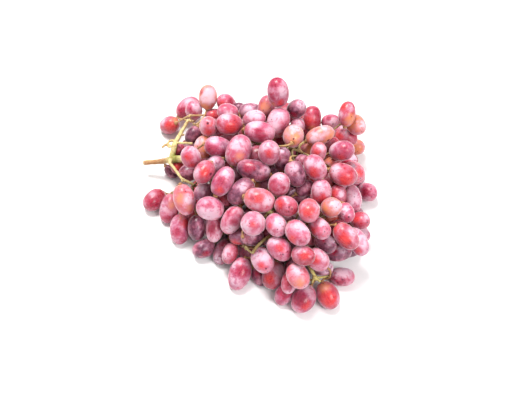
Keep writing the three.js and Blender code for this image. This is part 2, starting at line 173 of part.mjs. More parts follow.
    berries: [[20.04, -91.27, 6.69, -0.5, -0.76, -0.42, 9.76, 6.76, 7, 5], [34.9, -96.88, 8.18, -0.5, -0.86, -0.15, 11.46, 8.81, 7, 5]],
    pedicels: [[[27.3, -84.11, 12.74, 0.8], [44.31, -83.98, 15.74, 0.72]], [[44.05, -83.72, 16.01, 0.72]]],
    stems: [[[43.65, -84.22, 15.39, 0.8], [43.84, -84.12, 15.76, 0.75]]] },
  { colour: 0xc85a70,
    berries: [[44.76, -77.19, 34.99, -0.65, 0.14, 0.75, 10.16, 7.82, 7, 5], [66.21, -76.56, 6.79, 0.99, -0.1, 0.07, 10.22, 7.47, 7, 5], [53.95, -93.81, 8.28, 0.42, -0.82, -0.39, 11.38, 8.49, 7, 5]],
    pedicels: [[[55.83, -81.18, 24.75, 0.8], [55.23, -82.89, 15.67, 0.72], [50.95, -81.46, 12.09, 0.72]], [[51.02, -81.86, 12.7, 0.72]], [[51.48, -81.12, 12.44, 0.72]]],
    stems: [[[51.28, -81.1, 12.35, 0.8], [51.24, -81.23, 13.59, 0.75]]] },
  { colour: 0xc37682,
    berries: [[77.73, -57.28, 29.08, 0.5, -0.77, -0.4, 11.8, 7.28, 7, 5], [29.38, -91.22, 34.44, 0.4, -0.91, 0.11, 10.59, 8.15, 7, 5], [23.17, -89.51, 20.67, -0.17, -0.86, -0.48, 8.37, 5.86, 6, 5], [50.15, -76.19, 20.14, 1, -0.04, 0.08, 7.86, 5.68, 6, 4]],
    pedicels: [[[71.03, -46.59, 33.44, 0.8], [61.94, -53.42, 26.72, 0.72], [38.9, -73.94, 21.67, 0.82]], [[33.3, -75.13, 23.24, 0.53]], [[33.3, -75.13, 23.24, 0.82], [39.74, -73.49, 21.63, 0.82]], [[38.85, -73.4, 21.93, 0.82]]],
    stems: [[[39.38, -73.42, 21.42, 0.8], [39.24, -74.09, 22.25, 0.75]]] },
  { colour: 0x9d475c,
    berries: [[33.13, -81.04, 47.68, 0.66, -0.53, 0.53, 9.71, 7.47, 7, 5], [11.19, -78.46, 13.07, -0.26, -0.84, -0.47, 10.99, 8.33, 7, 5], [51.11, -63.88, 37.37, 0.82, -0.53, -0.24, 9.1, 6.62, 6, 5], [71.46, -49.14, 8.91, 0.91, 0.1, -0.41, 12.33, 8.96, 6, 4], [41.94, -52.2, 30.45, 0.74, 0.54, -0.41, 10.89, 8, 6, 4]],
    pedicels: [[[30.38, -64.24, 33.44, 0.82]], [[30.65, -64.51, 34.09, 0.82]], [[39.3, -57.13, 41.25, 0.8], [31.8, -63.13, 35.25, 0.82], [30.01, -64.92, 33.46, 0.82]], [[58.4, -50.33, 14.96, 0.78], [43.45, -62.98, 27.61, 0.78], [41.15, -62.98, 27.61, 0.78], [35.4, -62.98, 33.36, 0.78], [32.97, -61.05, 34.88, 0.54]], [[32.97, -61.05, 34.88, 0.83], [31.8, -63.13, 35.25, 0.53]]],
    stems: [[[30.2, -64.83, 34.08, 0.8], [30.82, -63.65, 32.08, 0.75]]] },
  { colour: 0xae4354,
    berries: [[63, -62.72, 21.46, 0.98, 0.09, 0.18, 10.35, 6.9, 6, 5], [61.06, -51.44, 36.28, 0.4, 0.4, 0.82, 8.79, 6.76, 6, 5], [48.39, -65.69, 9.27, 0.17, -0.18, -0.97, 10.09, 7.86, 6, 4]],
    pedicels: [[[48.3, -63.13, 21.75, 0.8], [42.29, -67.62, 23.27, 0.82], [40.79, -72.12, 24.77, 0.92], [40.93, -73.5, 24.75, 0.92]], [[40.79, -72.12, 24.77, 0.6]], [[42.29, -67.62, 23.27, 0.53]]],
    stems: [[[41.08, -73.35, 24.75, 0.8], [40.81, -73.62, 24.75, 0.75]]] },
  { colour: 0xc87b8a,
    berries: [[29.04, -67.58, 57.85, 0.55, -0.84, 0.04, 10.7, 8.23, 7, 5], [37.83, -49.78, 61.83, -0.06, -0.87, 0.48, 10.57, 8.13, 7, 5], [46.22, -58.81, 50.87, 0.57, -0.81, 0.13, 9.38, 7.21, 7, 5], [37.4, -39.74, 44.08, 0.73, 0.48, 0.48, 11.08, 8.22, 6, 4]],
    pedicels: [[[25.87, -51.73, 45.75, 0.72], [27.3, -51.13, 38.25, 0.82], [27.3, -51.13, 36.25, 0.82]], [[37.75, -37.65, 54.87, 0.8], [29.41, -45.11, 50.13, 0.72], [27.3, -51.13, 38.25, 0.53]], [[26.93, -51.1, 36.42, 0.82]], [[27.1, -51.56, 36.58, 0.82]]],
    stems: [[[27.36, -51.11, 37.14, 0.8], [27.25, -51.15, 36.44, 0.75]]] },
  { colour: 0xb7576e,
    berries: [[27.16, -53.11, 9.78, 0.32, -0.27, -0.91, 10.85, 8.48, 6, 4], [45.89, -30.41, 29.34, 0.82, 0.39, -0.42, 10.77, 8.02, 6, 4], [47.41, -48.6, 9.88, 0.56, -0.14, -0.81, 11.38, 8.8, 6, 4], [43.78, -27.36, 11.43, 0.64, 0.73, -0.22, 10.71, 8.58, 6, 4]],
    pedicels: [[[25.95, -50.64, 30.45, 0.72]], [[28.01, -43.52, 33.11, 0.72], [25.75, -51.08, 29.76, 0.72]], [[25.49, -50.72, 30.25, 0.72]], [[25.65, -50.96, 30.27, 0.72]]],
    stems: [[[25.87, -50.88, 30.07, 0.8], [26.31, -50.64, 30.43, 0.75]]] },
  { colour: 0xc2778a,
    berries: [[26.6, -16.94, 13.31, 0.78, 0.17, -0.61, 10.57, 8.1, 6, 4], [43.45, -14.28, 22.95, 0.88, 0.44, -0.14, 10.99, 8.09, 6, 4], [12.99, -56.76, 52.22, 0.31, -0.9, 0.32, 10.15, 7.81, 7, 5], [24.88, -33.69, 13.45, 0.84, -0.08, -0.54, 10.23, 8.22, 6, 4]],
    pedicels: [[[18.84, -16.28, 21.77, 0.8], [21.18, -21.03, 26.73, 0.72], [18.3, -33.13, 30.75, 0.82], [19.16, -38.91, 32.64, 0.82]], [[18.3, -33.13, 30.75, 0.53]], [[16.92, -39.11, 38.66, 0.72], [19.25, -38.39, 32.02, 0.82]], [[19.14, -38.62, 32.95, 0.82]]],
    stems: [[[18.55, -38.94, 32, 0.8], [17.98, -39.28, 32.59, 0.75]]] },
  { colour: 0xd57876,
    berries: [[48.96, -26.42, 53.61, -0.12, 0.37, 0.92, 10.13, 7.79, 7, 5], [55.59, -42, 54.58, 0.29, -0.54, 0.79, 9.73, 7.49, 7, 5], [64.01, -18.81, 37.71, 0, 0.81, 0.58, 8.83, 6.52, 6, 5]],
    pedicels: [[[45.3, -42.13, 36.75, 0.6]], [[45.3, -42.13, 36.75, 0.92], [42.37, -43.79, 35.44, 0.92]], [[45.3, -42.13, 36.75, 0.6]]],
    stems: [[[42.43, -43.87, 35.54, 0.8], [42.27, -43.71, 35.31, 0.75]]] },
  { colour: 0xaa596e,
    berries: [[36.56, -19.83, 48.76, 0.86, 0.37, 0.34, 7.89, 5.7, 6, 5], [15.44, -25.5, 61.91, 0.11, -0.1, 0.99, 10.96, 8.43, 7, 5], [32.36, -19.11, 35.1, 0.88, -0.28, 0.39, 9.09, 6.99, 6, 4], [20.75, -44.54, 59.67, 0.59, -0.62, 0.51, 10.17, 7.82, 7, 5]],
    pedicels: [[[11.91, -30.29, 33.48, 0.82]], [[12.99, -26.79, 45.19, 0.83], [10.8, -30.13, 33.75, 0.82], [12.8, -30.13, 33.75, 0.82]], [[11.94, -30.48, 33.79, 0.82]], [[13.6, -37.54, 53.8, 0.78], [13.6, -30.64, 48.05, 0.78], [12.45, -29.49, 46.9, 0.78], [12.45, -28.34, 45.75, 0.78], [12.99, -26.79, 45.19, 0.54]]],
    stems: [[[11.07, -29.86, 33.61, 0.8], [10.32, -30.6, 34.01, 0.75]]] },
  { colour: 0xb75d70,
    berries: [[44, -11.97, 66.28, -0.49, 0.41, 0.77, 10.6, 8.16, 7, 5], [67.39, -7.87, 51.34, 0.93, -0.34, -0.12, 11.54, 8.8, 7, 5], [36.47, 1.91, 51.22, -0.48, 0.37, 0.79, 9.29, 7.15, 6, 5]],
    pedicels: [[[49.8, -16.63, 56.25, 0.8], [45.3, 5.87, 48.75, 0.92], [42.3, 10.37, 48.75, 0.92]], [[46.85, 4.36, 48.72, 0.82], [45.3, 5.87, 48.75, 0.6]], [[42.38, -3.14, 42.7, 0.8], [46.85, 4.36, 48.72, 0.53]]],
    stems: [[[42.3, 10.39, 49.15, 0.8], [42.29, 10.29, 47.92, 0.75]]] },
  { colour: 0xba767b,
    berries: [[28.61, -14.29, 60.93, 0.34, -0.76, -0.55, 10.2, 7.75, 7, 5], [50.41, 28.2, 56.71, 0.92, 0.24, 0.3, 11.92, 7.36, 7, 5], [19.17, 8.14, 51.16, 0.09, 0.78, 0.62, 9.9, 7.2, 6, 5], [59.1, 49.84, 8.21, 0.87, 0.36, -0.32, 10.96, 8.64, 6, 4], [43.75, 25.49, 40.91, 0.69, 0.42, 0.59, 8.93, 6.87, 6, 5]],
    pedicels: [[[24.3, -3.13, 68.25, 0.8], [29.53, 8.8, 54.75, 0.72], [36.3, 14.87, 44.25, 0.53]], [[36.97, 25.12, 52.77, 0.78], [27.77, 21.67, 49.32, 0.78], [25.47, 19.37, 47.02, 0.78], [26.62, 12.47, 45.87, 0.78], [30.26, 8.71, 43.51, 0.81]], [[18.3, -1.63, 42.75, 0.8], [30.31, 9.38, 43.75, 0.81]], [[42.97, 38.78, 21.5, 0.72], [41.65, 28.37, 27.44, 0.72], [36.3, 20.87, 33.75, 0.82], [36.47, 16.57, 43.07, 0.82], [36.3, 14.87, 44.25, 0.82], [29.57, 8.7, 43.69, 0.81]], [[36.3, 20.87, 33.75, 0.53]]],
    stems: [[[36.19, 16.17, 43.92, 0.8], [36.4, 16.53, 44.65, 0.75]]] },
  { colour: 0xd68595,
    berries: [[60.53, 32.83, 23.12, 0.94, 0.34, 0.08, 12.41, 9.03, 6, 4], [48.62, 6.1, 11.02, 0.82, 0.52, -0.24, 10.28, 8.08, 6, 4], [62.01, 21.9, 7.96, 0.9, 0.38, -0.19, 11.24, 8.54, 6, 4]],
    pedicels: [[[45.3, 26.87, 21.75, 0.8], [43.76, 14.55, 35.62, 0.72]], [[37.8, -0.13, 14.25, 0.8], [42.11, 11.62, 26.25, 0.72], [43.88, 15.05, 35.71, 0.72]], [[44.35, 14.99, 20.25, 0.72], [43.78, 14.88, 35.75, 0.72]]],
    stems: [[[44.08, 14.87, 34.97, 0.8], [43.81, 14.87, 35.24, 0.75]]] },
  { colour: 0xcb6984,
    berries: [[16, 43.02, 55.84, 0.31, 0.71, 0.63, 12.75, 9.46, 7, 5], [33.33, 32.98, 30.16, 0.72, 0.42, 0.54, 10.71, 7.95, 6, 4]],
    pedicels: [[[15.19, 28.14, 31.79, 0.72]], [[22.8, 26.87, 23.25, 0.8], [14.8, 28.39, 32.63, 0.72]]],
    stems: [[[13.44, 28.55, 42.75, 0.8], [14.89, 27.82, 42.75, 0.75]]] },
  { colour: 0xca7881,
    berries: [[63.44, 63.48, 33.27, 0.7, -0.47, 0.54, 9, 6.92, 7, 5], [46.48, 63.55, 37.83, 0.09, 0.74, 0.66, 11.1, 7.9, 7, 5], [32.74, 46.9, 46.07, 0.14, 0.46, 0.88, 7.74, 5.95, 7, 5], [42.91, 33.64, 11.88, 0.73, 0.55, -0.41, 11.12, 8.56, 6, 4], [28.16, 23.69, 61.71, 0.14, 0.94, -0.3, 10.97, 8.44, 7, 5], [33.7, 15.98, 13.19, 0.91, 0.28, -0.3, 11.07, 8.46, 6, 4]],
    pedicels: [[[54.3, 68.87, 26.25, 0.8], [49.46, 56.87, 27.99, 0.72], [45.3, 50.87, 30.75, 0.82], [35.42, 38.87, 39.96, 0.82], [31.8, 26.87, 42.69, 0.6]], [[45.3, 50.87, 30.75, 0.53]], [[31.8, 27.53, 42.61, 0.89], [31.8, 26.87, 42.69, 0.92], [31.76, 19.28, 44, 0.92], [31.82, 19.41, 42.25, 0.82]], [[31.8, 23.1, 23.25, 0.72], [31.8, 19.28, 43.24, 0.82]], [[22.35, 11.52, 64.05, 0.78], [15.45, 13.82, 60.6, 0.78], [15.45, 18.42, 53.7, 0.78], [22.35, 21.87, 49.1, 0.78], [25.8, 25.32, 49.1, 0.78], [31.8, 27.53, 42.61, 0.58]], [[21.3, 11.87, 18.75, 0.8], [30.48, 18.81, 29.25, 0.72], [31.85, 19.39, 43.25, 0.82]]],
    stems: [[[31.62, 19.17, 43.95, 0.8], [31.97, 19.39, 44.43, 0.75]]] },
  { colour: 0xb85c66,
    berries: [[23.78, 66.41, 10.63, 0.87, 0.46, 0.19, 11.47, 8.55, 6, 4], [27.05, 47.54, 11.53, 0.91, 0.35, -0.22, 10.89, 8.49, 6, 4], [32.55, 50.65, 28.34, 0.87, 0.5, -0.02, 11.21, 8.9, 6, 4]],
    pedicels: [[[12.3, 59.87, 8.25, 0.8], [15.3, 34.37, 27.75, 0.82], [18.3, 26.87, 35.25, 0.6]], [[15.3, 34.37, 27.75, 0.53]], [[19.8, 41.87, 27.72, 0.8], [19.14, 32.88, 29.03, 0.72], [18.3, 26.87, 35.25, 0.92], [18.43, 26.87, 41.12, 0.92]]],
    stems: [[[18.58, 26.87, 40.97, 0.8], [18.31, 26.87, 41.24, 0.75]]] },
  { colour: 0x99485e,
    berries: [[32, 57.38, 57.45, 0.39, -0.29, 0.87, 9.6, 7.38, 7, 5], [45.27, 80.85, 8.38, 0.96, 0.2, -0.2, 11.9, 8.94, 6, 4], [45.67, 74.29, 25.48, 0.85, 0.53, -0.08, 9.78, 7.86, 6, 4]],
    pedicels: [[[27.3, 59.87, 47.25, 0.8], [22.8, 47.87, 44.25, 0.82], [22.8, 41.87, 44.25, 0.92], [22.8, 26.87, 44.25, 0.92]], [[29.05, 73.2, 18.68, 0.72], [23.43, 58.37, 30.79, 0.72], [22.8, 41.87, 44.25, 0.6]], [[22.8, 47.87, 44.25, 0.53]]],
    stems: [[[22.86, 27.21, 44.05, 0.8], [22.78, 26.6, 44.4, 0.75]]] },
  { colour: 0xd68595,
    berries: [[82.14, -34.08, 24.14, 0.52, -0.6, 0.6, 9.24, 7.11, 7, 5], [28.48, -73.41, 11.85, -0.34, -0.67, -0.66, 11.23, 8.24, 6, 4], [84.21, -37.75, 10.56, 0.71, -0.71, -0.05, 8.11, 6.24, 6, 5]],
    pedicels: [[[75.3, -27.13, 17.25, 0.8], [50.95, -51.48, 21.82, 0.82]], [[36.41, -66.04, 26.18, 0.82], [45.3, -57.13, 22.39, 0.82], [51.65, -50.78, 21.71, 0.82]], [[75.3, -30.13, 11.25, 0.8], [50.94, -51.44, 21.91, 0.82]]],
    stems: [[[36.59, -65.95, 26.05, 0.8], [36.32, -66.02, 26.27, 0.75]]] },
  { colour: 0xc0717b,
    berries: [[62.93, -29.9, 8.87, 0.77, 0.19, -0.62, 11.18, 8.43, 6, 4], [61.17, -12, 8.89, 0.76, 0.42, -0.5, 11.28, 8.95, 6, 4], [78.99, -18.64, 8.83, 0.68, 0.35, -0.64, 10.7, 8.6, 6, 4], [61.62, -38.8, 31.35, 0.98, -0.2, -0.01, 8.6, 6.45, 6, 5], [66.72, -63.07, 46.14, 0.66, -0.67, -0.33, 11.55, 8.01, 7, 5]],
    pedicels: [[[42.3, -40.63, 24.75, 0.82], [27.98, -47.48, 33.82, 0.82]], [[51.2, -30.13, 18.81, 0.72], [48, -34.63, 20.07, 0.72], [42.3, -40.63, 24.75, 0.53]], [[51.3, -38.56, 26.83, 0.72], [36.3, -43.63, 30.75, 0.82], [27.94, -47.49, 33.73, 0.82]], [[36.3, -43.63, 30.75, 0.53]], [[46.8, -51.17, 42.57, 0.72], [35.91, -49.98, 40.76, 0.72], [28.02, -47.17, 33.24, 0.82]]],
    stems: [[[28.79, -47.97, 32.04, 0.8], [29.22, -48.43, 32.58, 0.75]]] },
  { colour: 0xdb919e,
    berries: [[76.73, -17.6, 32.11, 0.17, -0.82, -0.55, 10.99, 6.78, 7, 5], [60.65, -2.42, 34.91, 0.98, 0.05, -0.17, 10.56, 8.32, 6, 4], [48.02, 9.01, 59.18, 0.08, 0.19, 0.98, 8.27, 6.36, 7, 5], [68.41, -39.43, 43.62, 0.25, -0.97, -0.06, 8.26, 6.35, 7, 5], [83.48, 21.6, 7.77, 0.74, 0.56, -0.39, 10.14, 8.14, 6, 4], [71.29, 5.01, 13.82, 0.76, 0.52, -0.4, 11.2, 8.9, 6, 4]],
    pedicels: [[[73.8, -6.13, 39.75, 0.8], [64.8, 2.22, 43.75, 0.72], [45.03, 12.12, 45.96, 0.92]], [[49.8, -1.14, 39.43, 0.78], [46.83, 1.41, 43.76, 0.72], [45.3, 7.37, 45.75, 0.82], [45.3, 8.87, 45.75, 0.92], [45.51, 12.4, 45.94, 0.92]], [[46.8, 7.37, 47.25, 0.8], [45.3, 8.87, 45.75, 0.6]], [[65.35, -30.19, 44.5, 0.78], [56.15, -22.14, 41.05, 0.78], [49.25, -2.59, 39.9, 0.78], [49.8, -1.14, 39.43, 0.51]], [[54.64, 9.04, 35.49, 0.53]], [[54.64, 9.04, 35.49, 0.82], [45.16, 12, 46.28, 0.92]]],
    stems: [[[45.7, 11.92, 45.74, 0.8], [44.36, 11.6, 45.78, 0.75]]] },
  { colour: 0xc86163,
    berries: [[93.51, 5.76, 8.09, 0.41, -0.68, 0.61, 10.19, 7.84, 7, 5], [60.9, 15.09, 38.07, 0.89, 0.06, 0.46, 8.07, 6.21, 6, 5], [76.66, 37.51, 10.56, 0.99, 0.13, -0.05, 10.88, 8.67, 6, 4]],
    pedicels: [[[81.32, 13.27, 2.62, 0.72], [76.86, 13.94, 4.97, 0.72], [69, 16.29, 14.26, 0.72], [48.3, 16.37, 35.25, 0.82], [45.3, 14.87, 38.25, 0.6]], [[49.87, 15.04, 33.62, 0.8], [48.3, 16.37, 35.25, 0.53]], [[55.81, 30.54, 12.83, 0.72], [51.65, 26.58, 15.85, 0.72], [45.3, 14.87, 38.25, 0.92], [43.8, 11.87, 42.75, 0.92]]],
    stems: [[[43.68, 11.5, 42.68, 0.8], [44.11, 12.79, 42.91, 0.75]]] },
  { colour: 0xbb545f,
    berries: [[60.57, 28.13, 42.58, 0.34, 0.13, 0.93, 8.92, 6.86, 6, 5], [75.98, 49.75, 28.95, 0.97, -0.24, -0.04, 10.11, 7.58, 7, 5], [79.54, 8.3, 33.02, 0.43, -0.89, 0.16, 10.54, 8.11, 7, 5], [42.28, 3.63, 34.63, -0.77, -0.64, -0.02, 11.26, 8.35, 6, 4]],
    pedicels: [[[51.3, 20.87, 35.25, 0.82], [46.8, 16.37, 39.75, 0.66]], [[63.3, 52.37, 29.25, 0.8], [64.22, 46.37, 28.5, 0.72], [63.43, 40.37, 31.87, 0.72], [53.44, 28.37, 34.68, 0.72], [51.3, 20.87, 35.25, 0.53]], [[57.18, 19.4, 31.3, 0.72], [48.25, 16.42, 38.21, 0.82], [46.8, 16.37, 39.75, 1.02], [45.3, 16.63, 40.99, 1.02]], [[51.27, 13.21, 35.37, 0.8], [48.25, 16.42, 38.21, 0.53]]],
    stems: [[[45.3, 16.65, 40.97, 0.8], [45.3, 16.44, 41.18, 0.75]]] },
  { colour: 0xd17673,
    berries: [[74.3, 51.88, 56.84, 0.14, 0.73, 0.67, 10.8, 7.27, 7, 5], [83.5, 51.71, 43.18, 0.35, -0.91, 0.23, 10.25, 7.89, 7, 5], [86.08, 54.97, 9.01, 0.88, -0.3, 0.37, 9.48, 7.29, 6, 5], [67.72, 14.73, 53.68, 0.76, -0.31, 0.57, 10.44, 8.03, 7, 5], [75.08, 24.45, 29.4, 0.99, -0.08, 0.1, 8.11, 6.2, 6, 5]],
    pedicels: [[[71.85, 45.29, 46.7, 0.78], [73, 49.89, 45.55, 0.78], [69.73, 52.77, 42.3, 0.49]], [[78.3, 62.87, 39.75, 0.8], [69.73, 52.77, 42.3, 0.76], [54.12, 34.37, 46.94, 0.72], [52.57, 25.37, 46.99, 0.72], [48.35, 14.89, 42.75, 1.12], [47.21, 13.41, 42.58, 1.12]], [[75.3, 58.37, 5.25, 0.8], [72.84, 35.84, 28, 0.72], [68.02, 29.8, 31.85, 0.72], [57.2, 22.47, 33.74, 0.53]], [[48.35, 14.89, 42.75, 0.73]], [[57.2, 22.47, 33.74, 0.82], [48.35, 14.89, 42.75, 0.73]]],
    stems: [[[47.08, 13.13, 42.73, 0.8], [46.87, 13.3, 42.75, 0.75]]] },
  { colour: 0xd1748d,
    berries: [[54.41, 45.92, 33.66, 0.86, 0.48, 0.16, 10.54, 8.47, 6, 4], [74.24, 67.17, 11.5, 0.77, 0.57, 0.27, 11.21, 8.32, 6, 4], [45.7, 61.32, 7.41, 0.91, 0.4, 0.1, 10.11, 8.09, 6, 4]],
    pedicels: [[[40.41, 40.28, 37.05, 0.72]], [[55.81, 58.06, 15.81, 0.72], [44.45, 46.44, 27.75, 0.72], [40.64, 40.1, 37.14, 0.72]], [[34.8, 56.87, 8.25, 0.8], [38.85, 52.17, 15.75, 0.72], [40.7, 45.12, 23.25, 0.72], [40.8, 40.2, 37.22, 0.72]]],
    stems: [[[40.64, 40.7, 36.59, 0.8], [41.43, 39.11, 37.38, 0.75]]] },
];

// ---- building blocks ----------------------------------------------------
function closedGeometry(positions, indices) {
  const g = new THREE.BufferGeometry();
  g.setAttribute('position', new THREE.Float32BufferAttribute(positions, 3));
  g.setIndex(indices);
  return g;
}

// A berry on its pedicel: an ellipsoid of facets about its own long axis, whose
// stalk end runs on into the thin pedicel along the given line.
function berryGeometry(x, y, z, dx, dy, dz, a, b, sides, bands, line) {
  const axis = new THREE.Vector3(dx, dy, dz).normalize();
  const q = new THREE.Quaternion().setFromUnitVectors(new THREE.Vector3(0, 0, 1), axis);
  const centre = new THREE.Vector3(x, y, z);
  const pos = [], idx = [];
  const put = (v) => pos.push(v.x, v.y, v.z);
  for (let r = 1; r < bands; r++) {
    const t = Math.PI * r / bands;
    for (let s = 0; s < sides; s++) {
      const phi = 2 * Math.PI * (s + (r % 2) / 2) / sides;
      const rad = b * Math.sin(t) * SWELL;
      put(new THREE.Vector3(rad * Math.cos(phi), rad * Math.sin(phi), -a * Math.cos(t)).applyQuaternion(q).add(centre));
    }
  }
  put(new THREE.Vector3(0, 0, a).applyQuaternion(q).add(centre));
  const ring = (r, s) => (r - 1) * sides + (s % sides);
  const tip = (bands - 1) * sides;
  for (let r = 1; r < bands - 1; r++) {
    for (let s = 0; s < sides; s++) {
      if (r % 2) {   // the next ring is turned back by half a facet
        idx.push(ring(r, s), ring(r, s + 1), ring(r + 1, s + 1));
        idx.push(ring(r, s), ring(r + 1, s + 1), ring(r + 1, s));
      } else {
        idx.push(ring(r, s), ring(r, s + 1), ring(r + 1, s));
        idx.push(ring(r, s + 1), ring(r + 1, s + 1), ring(r + 1, s));
      }
    }
  }
  for (let s = 0; s < sides; s++) idx.push(tip, ring(bands - 1, s), ring(bands - 1, s + 1));
  if (!line) {         // no pedicel: close the stalk end
    const foot = pos.length / 3;
    put(new THREE.Vector3(0, 0, -a).applyQuaternion(q).add(centre));
    for (let s = 0; s < sides; s++) idx.push(foot, ring(1, s + 1), ring(1, s));
    return closedGeometry(pos, idx);
  }
  // rings of the pedicel, from the stalk end outwards
  const pts = [centre.clone().addScaledVector(axis, -a + 0.1), ...line.map((p) => new THREE.Vector3(p[0], p[1], p[2]))];
  const radii = [0.95, ...line.map((p) => p[3])];
  const side = new THREE.Vector3(1, 0, 0).applyQuaternion(q);
  const first = pos.length / 3;
  const m = PEDICEL_SIDES;
  pts.forEach((p, i) => {
    const back = i === 0 ? axis.clone()
      : new THREE.Vector3().subVectors(pts[i - 1], pts[Math.min(pts.length - 1, i + 1)]).normalize();
    side.addScaledVector(back, -side.dot(back)).normalize();
    const up = new THREE.Vector3().crossVectors(back, side);
    for (let s = 0; s < m; s++) {
      const phi = 2 * Math.PI * s / m;
      put(p.clone().addScaledVector(side, radii[i] * Math.cos(phi)).addScaledVector(up, radii[i] * Math.sin(phi)));
    }
  });
  // the first ring is stitched to the berry's lowest ring
  let i = 0, j = 0;
  const angleT = (n) => n / m, angleR = (n) => (n + 0.5) / sides;
  while (i < m || j < sides) {
    const T = first + (i % m), R = ring(1, j);
    if (j < sides && (i >= m || angleR(j + 1) <= angleT(i + 1) + 0.25 / sides)) {
      idx.push(T, ring(1, j + 1), R);
      j++;
    } else {
      idx.push(T, first + ((i + 1) % m), R);
      i++;
    }
  }
  for (let r = 0; r < pts.length - 1; r++) {
    for (let s = 0; s < m; s++) {
      const A = first + r * m + s, B = first + r * m + (s + 1) % m;
      idx.push(A, B + m, B, A, A + m, B + m);
    }
  }
  const e = first + (pts.length - 1) * m;
  for (let s = 1; s < m - 1; s++) idx.push(e, e + s + 1, e + s);
  return closedGeometry(pos, idx);
}

// A stem of changing thickness along a line of points, closed at both ends.
function stemGeometry(line, sides, extra = 0) {
  const pts = line.map((p) => new THREE.Vector3(p[0], p[1], p[2]));
  const n = pts.length;
  const dir = pts.map((p, i) => new THREE.Vector3()
    .subVectors(pts[Math.min(n - 1, i + 1)], pts[Math.max(0, i - 1)]).normalize());
  let side = new THREE.Vector3(0.31, -0.42, 0.85).cross(dir[0]).normalize();
  const pos = [], idx = [];
  for (let i = 0; i < n; i++) {
    side.addScaledVector(dir[i], -side.dot(dir[i])).normalize();
    const up = new THREE.Vector3().crossVectors(dir[i], side);
    const r = line[i][3] + extra;
    for (let s = 0; s < sides; s++) {
      const phi = 2 * Math.PI * s / sides;
      const p = pts[i].clone().addScaledVector(side, r * Math.cos(phi)).addScaledVector(up, r * Math.sin(phi));
      pos.push(p.x, p.y, p.z);
    }
  }
  for (let i = 0; i < n - 1; i++) {
    for (let s = 0; s < sides; s++) {
      const a = i * sides + s, b = i * sides + (s + 1) % sides;
      idx.push(a, b, b + sides, a, b + sides, a + sides);
    }
  }
  for (let s = 1; s < sides - 1; s++) {
    idx.push(0, s + 1, s);
    const e = (n - 1) * sides;
    idx.push(e, e + s, e + s + 1);
  }
  return closedGeometry(pos, idx);
}

function toSolid(geometry) {
  return new wasm.Manifold(new wasm.Mesh({
    numProp: 3,
    vertProperties: new Float32Array(geometry.attributes.position.array),
    triVerts: new Uint32Array(geometry.index.array),
  }));
}

// Facet slivers thinner than SLIVER that the joins leave are dropped.
function toGeometry(solid) {
  const clean = solid.asOriginal().simplify(SLIVER);
  const mesh = (clean.decompose().length === 1 ? clean : solid).getMesh();
  const g = new THREE.BufferGeometry();
  g.setAttribute('position', new THREE.BufferAttribute(new Float32Array(mesh.vertProperties), 3));
  g.setIndex(Array.from(mesh.triVerts));
  g.computeVertexNormals();
  return g;
}

const join = (solids) => solids.reduce((a, b) => a.add(b));
const largest = (solid) => solid.decompose().sort((a, b) => b.volume() - a.volume())[0];

// everything under the resting plane, to press the lowest berries flat
const underPlane = (() => {
  const p = [], c = [[-1, -1, -1], [1, -1, -1], [1, 1, -1], [-1, 1, -1], [-1, -1, 1], [1, -1, 1], [1, 1, 1], [-1, 1, 1]];
  for (const [x, y, z] of c) p.push(200 * x, 200 * y, REST_Z - 20 + 20 * z);
  return toSolid(closedGeometry(p, [0, 2, 1, 0, 3, 2, 4, 5, 6, 4, 6, 7, 0, 1, 5, 0, 5, 4, 1, 2, 6, 1, 6, 5, 2, 3, 7, 2, 7, 6, 3, 0, 4, 3, 4, 7]));
})();

// ---- assembly -----------------------------------------------------------
const bunch = new THREE.Group();
bunch.name = 'bunch_of_grapes';

const knuckleGeometry = (extra) => berryGeometry(NODE_SWELLING[0], NODE_SWELLING[1], NODE_SWELLING[2],
  0.8, -0.1, 0.35, NODE_SWELLING[3] + extra, NODE_SWELLING[4] + extra, 7, 5);
const rachis = largest(join([toSolid(knuckleGeometry(0)), ...RACHIS.map((line) => toSolid(stemGeometry(line, STEM_SIDES)))]));
const clearance = join([toSolid(knuckleGeometry(STEM_GAP + 0.1)), ...RACHIS.map((line) => toSolid(stemGeometry(line, STEM_SIDES, STEM_GAP)))]);

const stem = new THREE.Mesh(toGeometry(rachis), new THREE.MeshStandardMaterial({ color: 0xb9a869, roughness: 0.8, metalness: 0 }));
stem.name = 'peduncle_and_rachis';
bunch.add(stem);

CLUSTERS.forEach((cluster, i) => {
  let solid = join([
    ...cluster.berries.map((b, n) => toSolid(berryGeometry(...b, cluster.pedicels[n]))),
    ...cluster.stems.map((line) => toSolid(stemGeometry(line, PEDICEL_SIDES))),
  ]);
  solid = largest(solid.subtract(clearance));
  if (solid.boundingBox().min[2] < REST_Z) solid = largest(solid.subtract(underPlane));
  const mesh = new THREE.Mesh(toGeometry(solid), new THREE.MeshStandardMaterial({ color: cluster.colour, roughness: 0.45, metalness: 0 }));
  mesh.name = `berry_branch_${String(i + 1).padStart(2, '0')}`;
  bunch.add(mesh);
});

export default bunch;
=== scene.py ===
# A bunch of elongated pink-red grapes lying on its side. Metres in the scene;
# the tables below are in millimetres, in the same frame as the solids.
import math

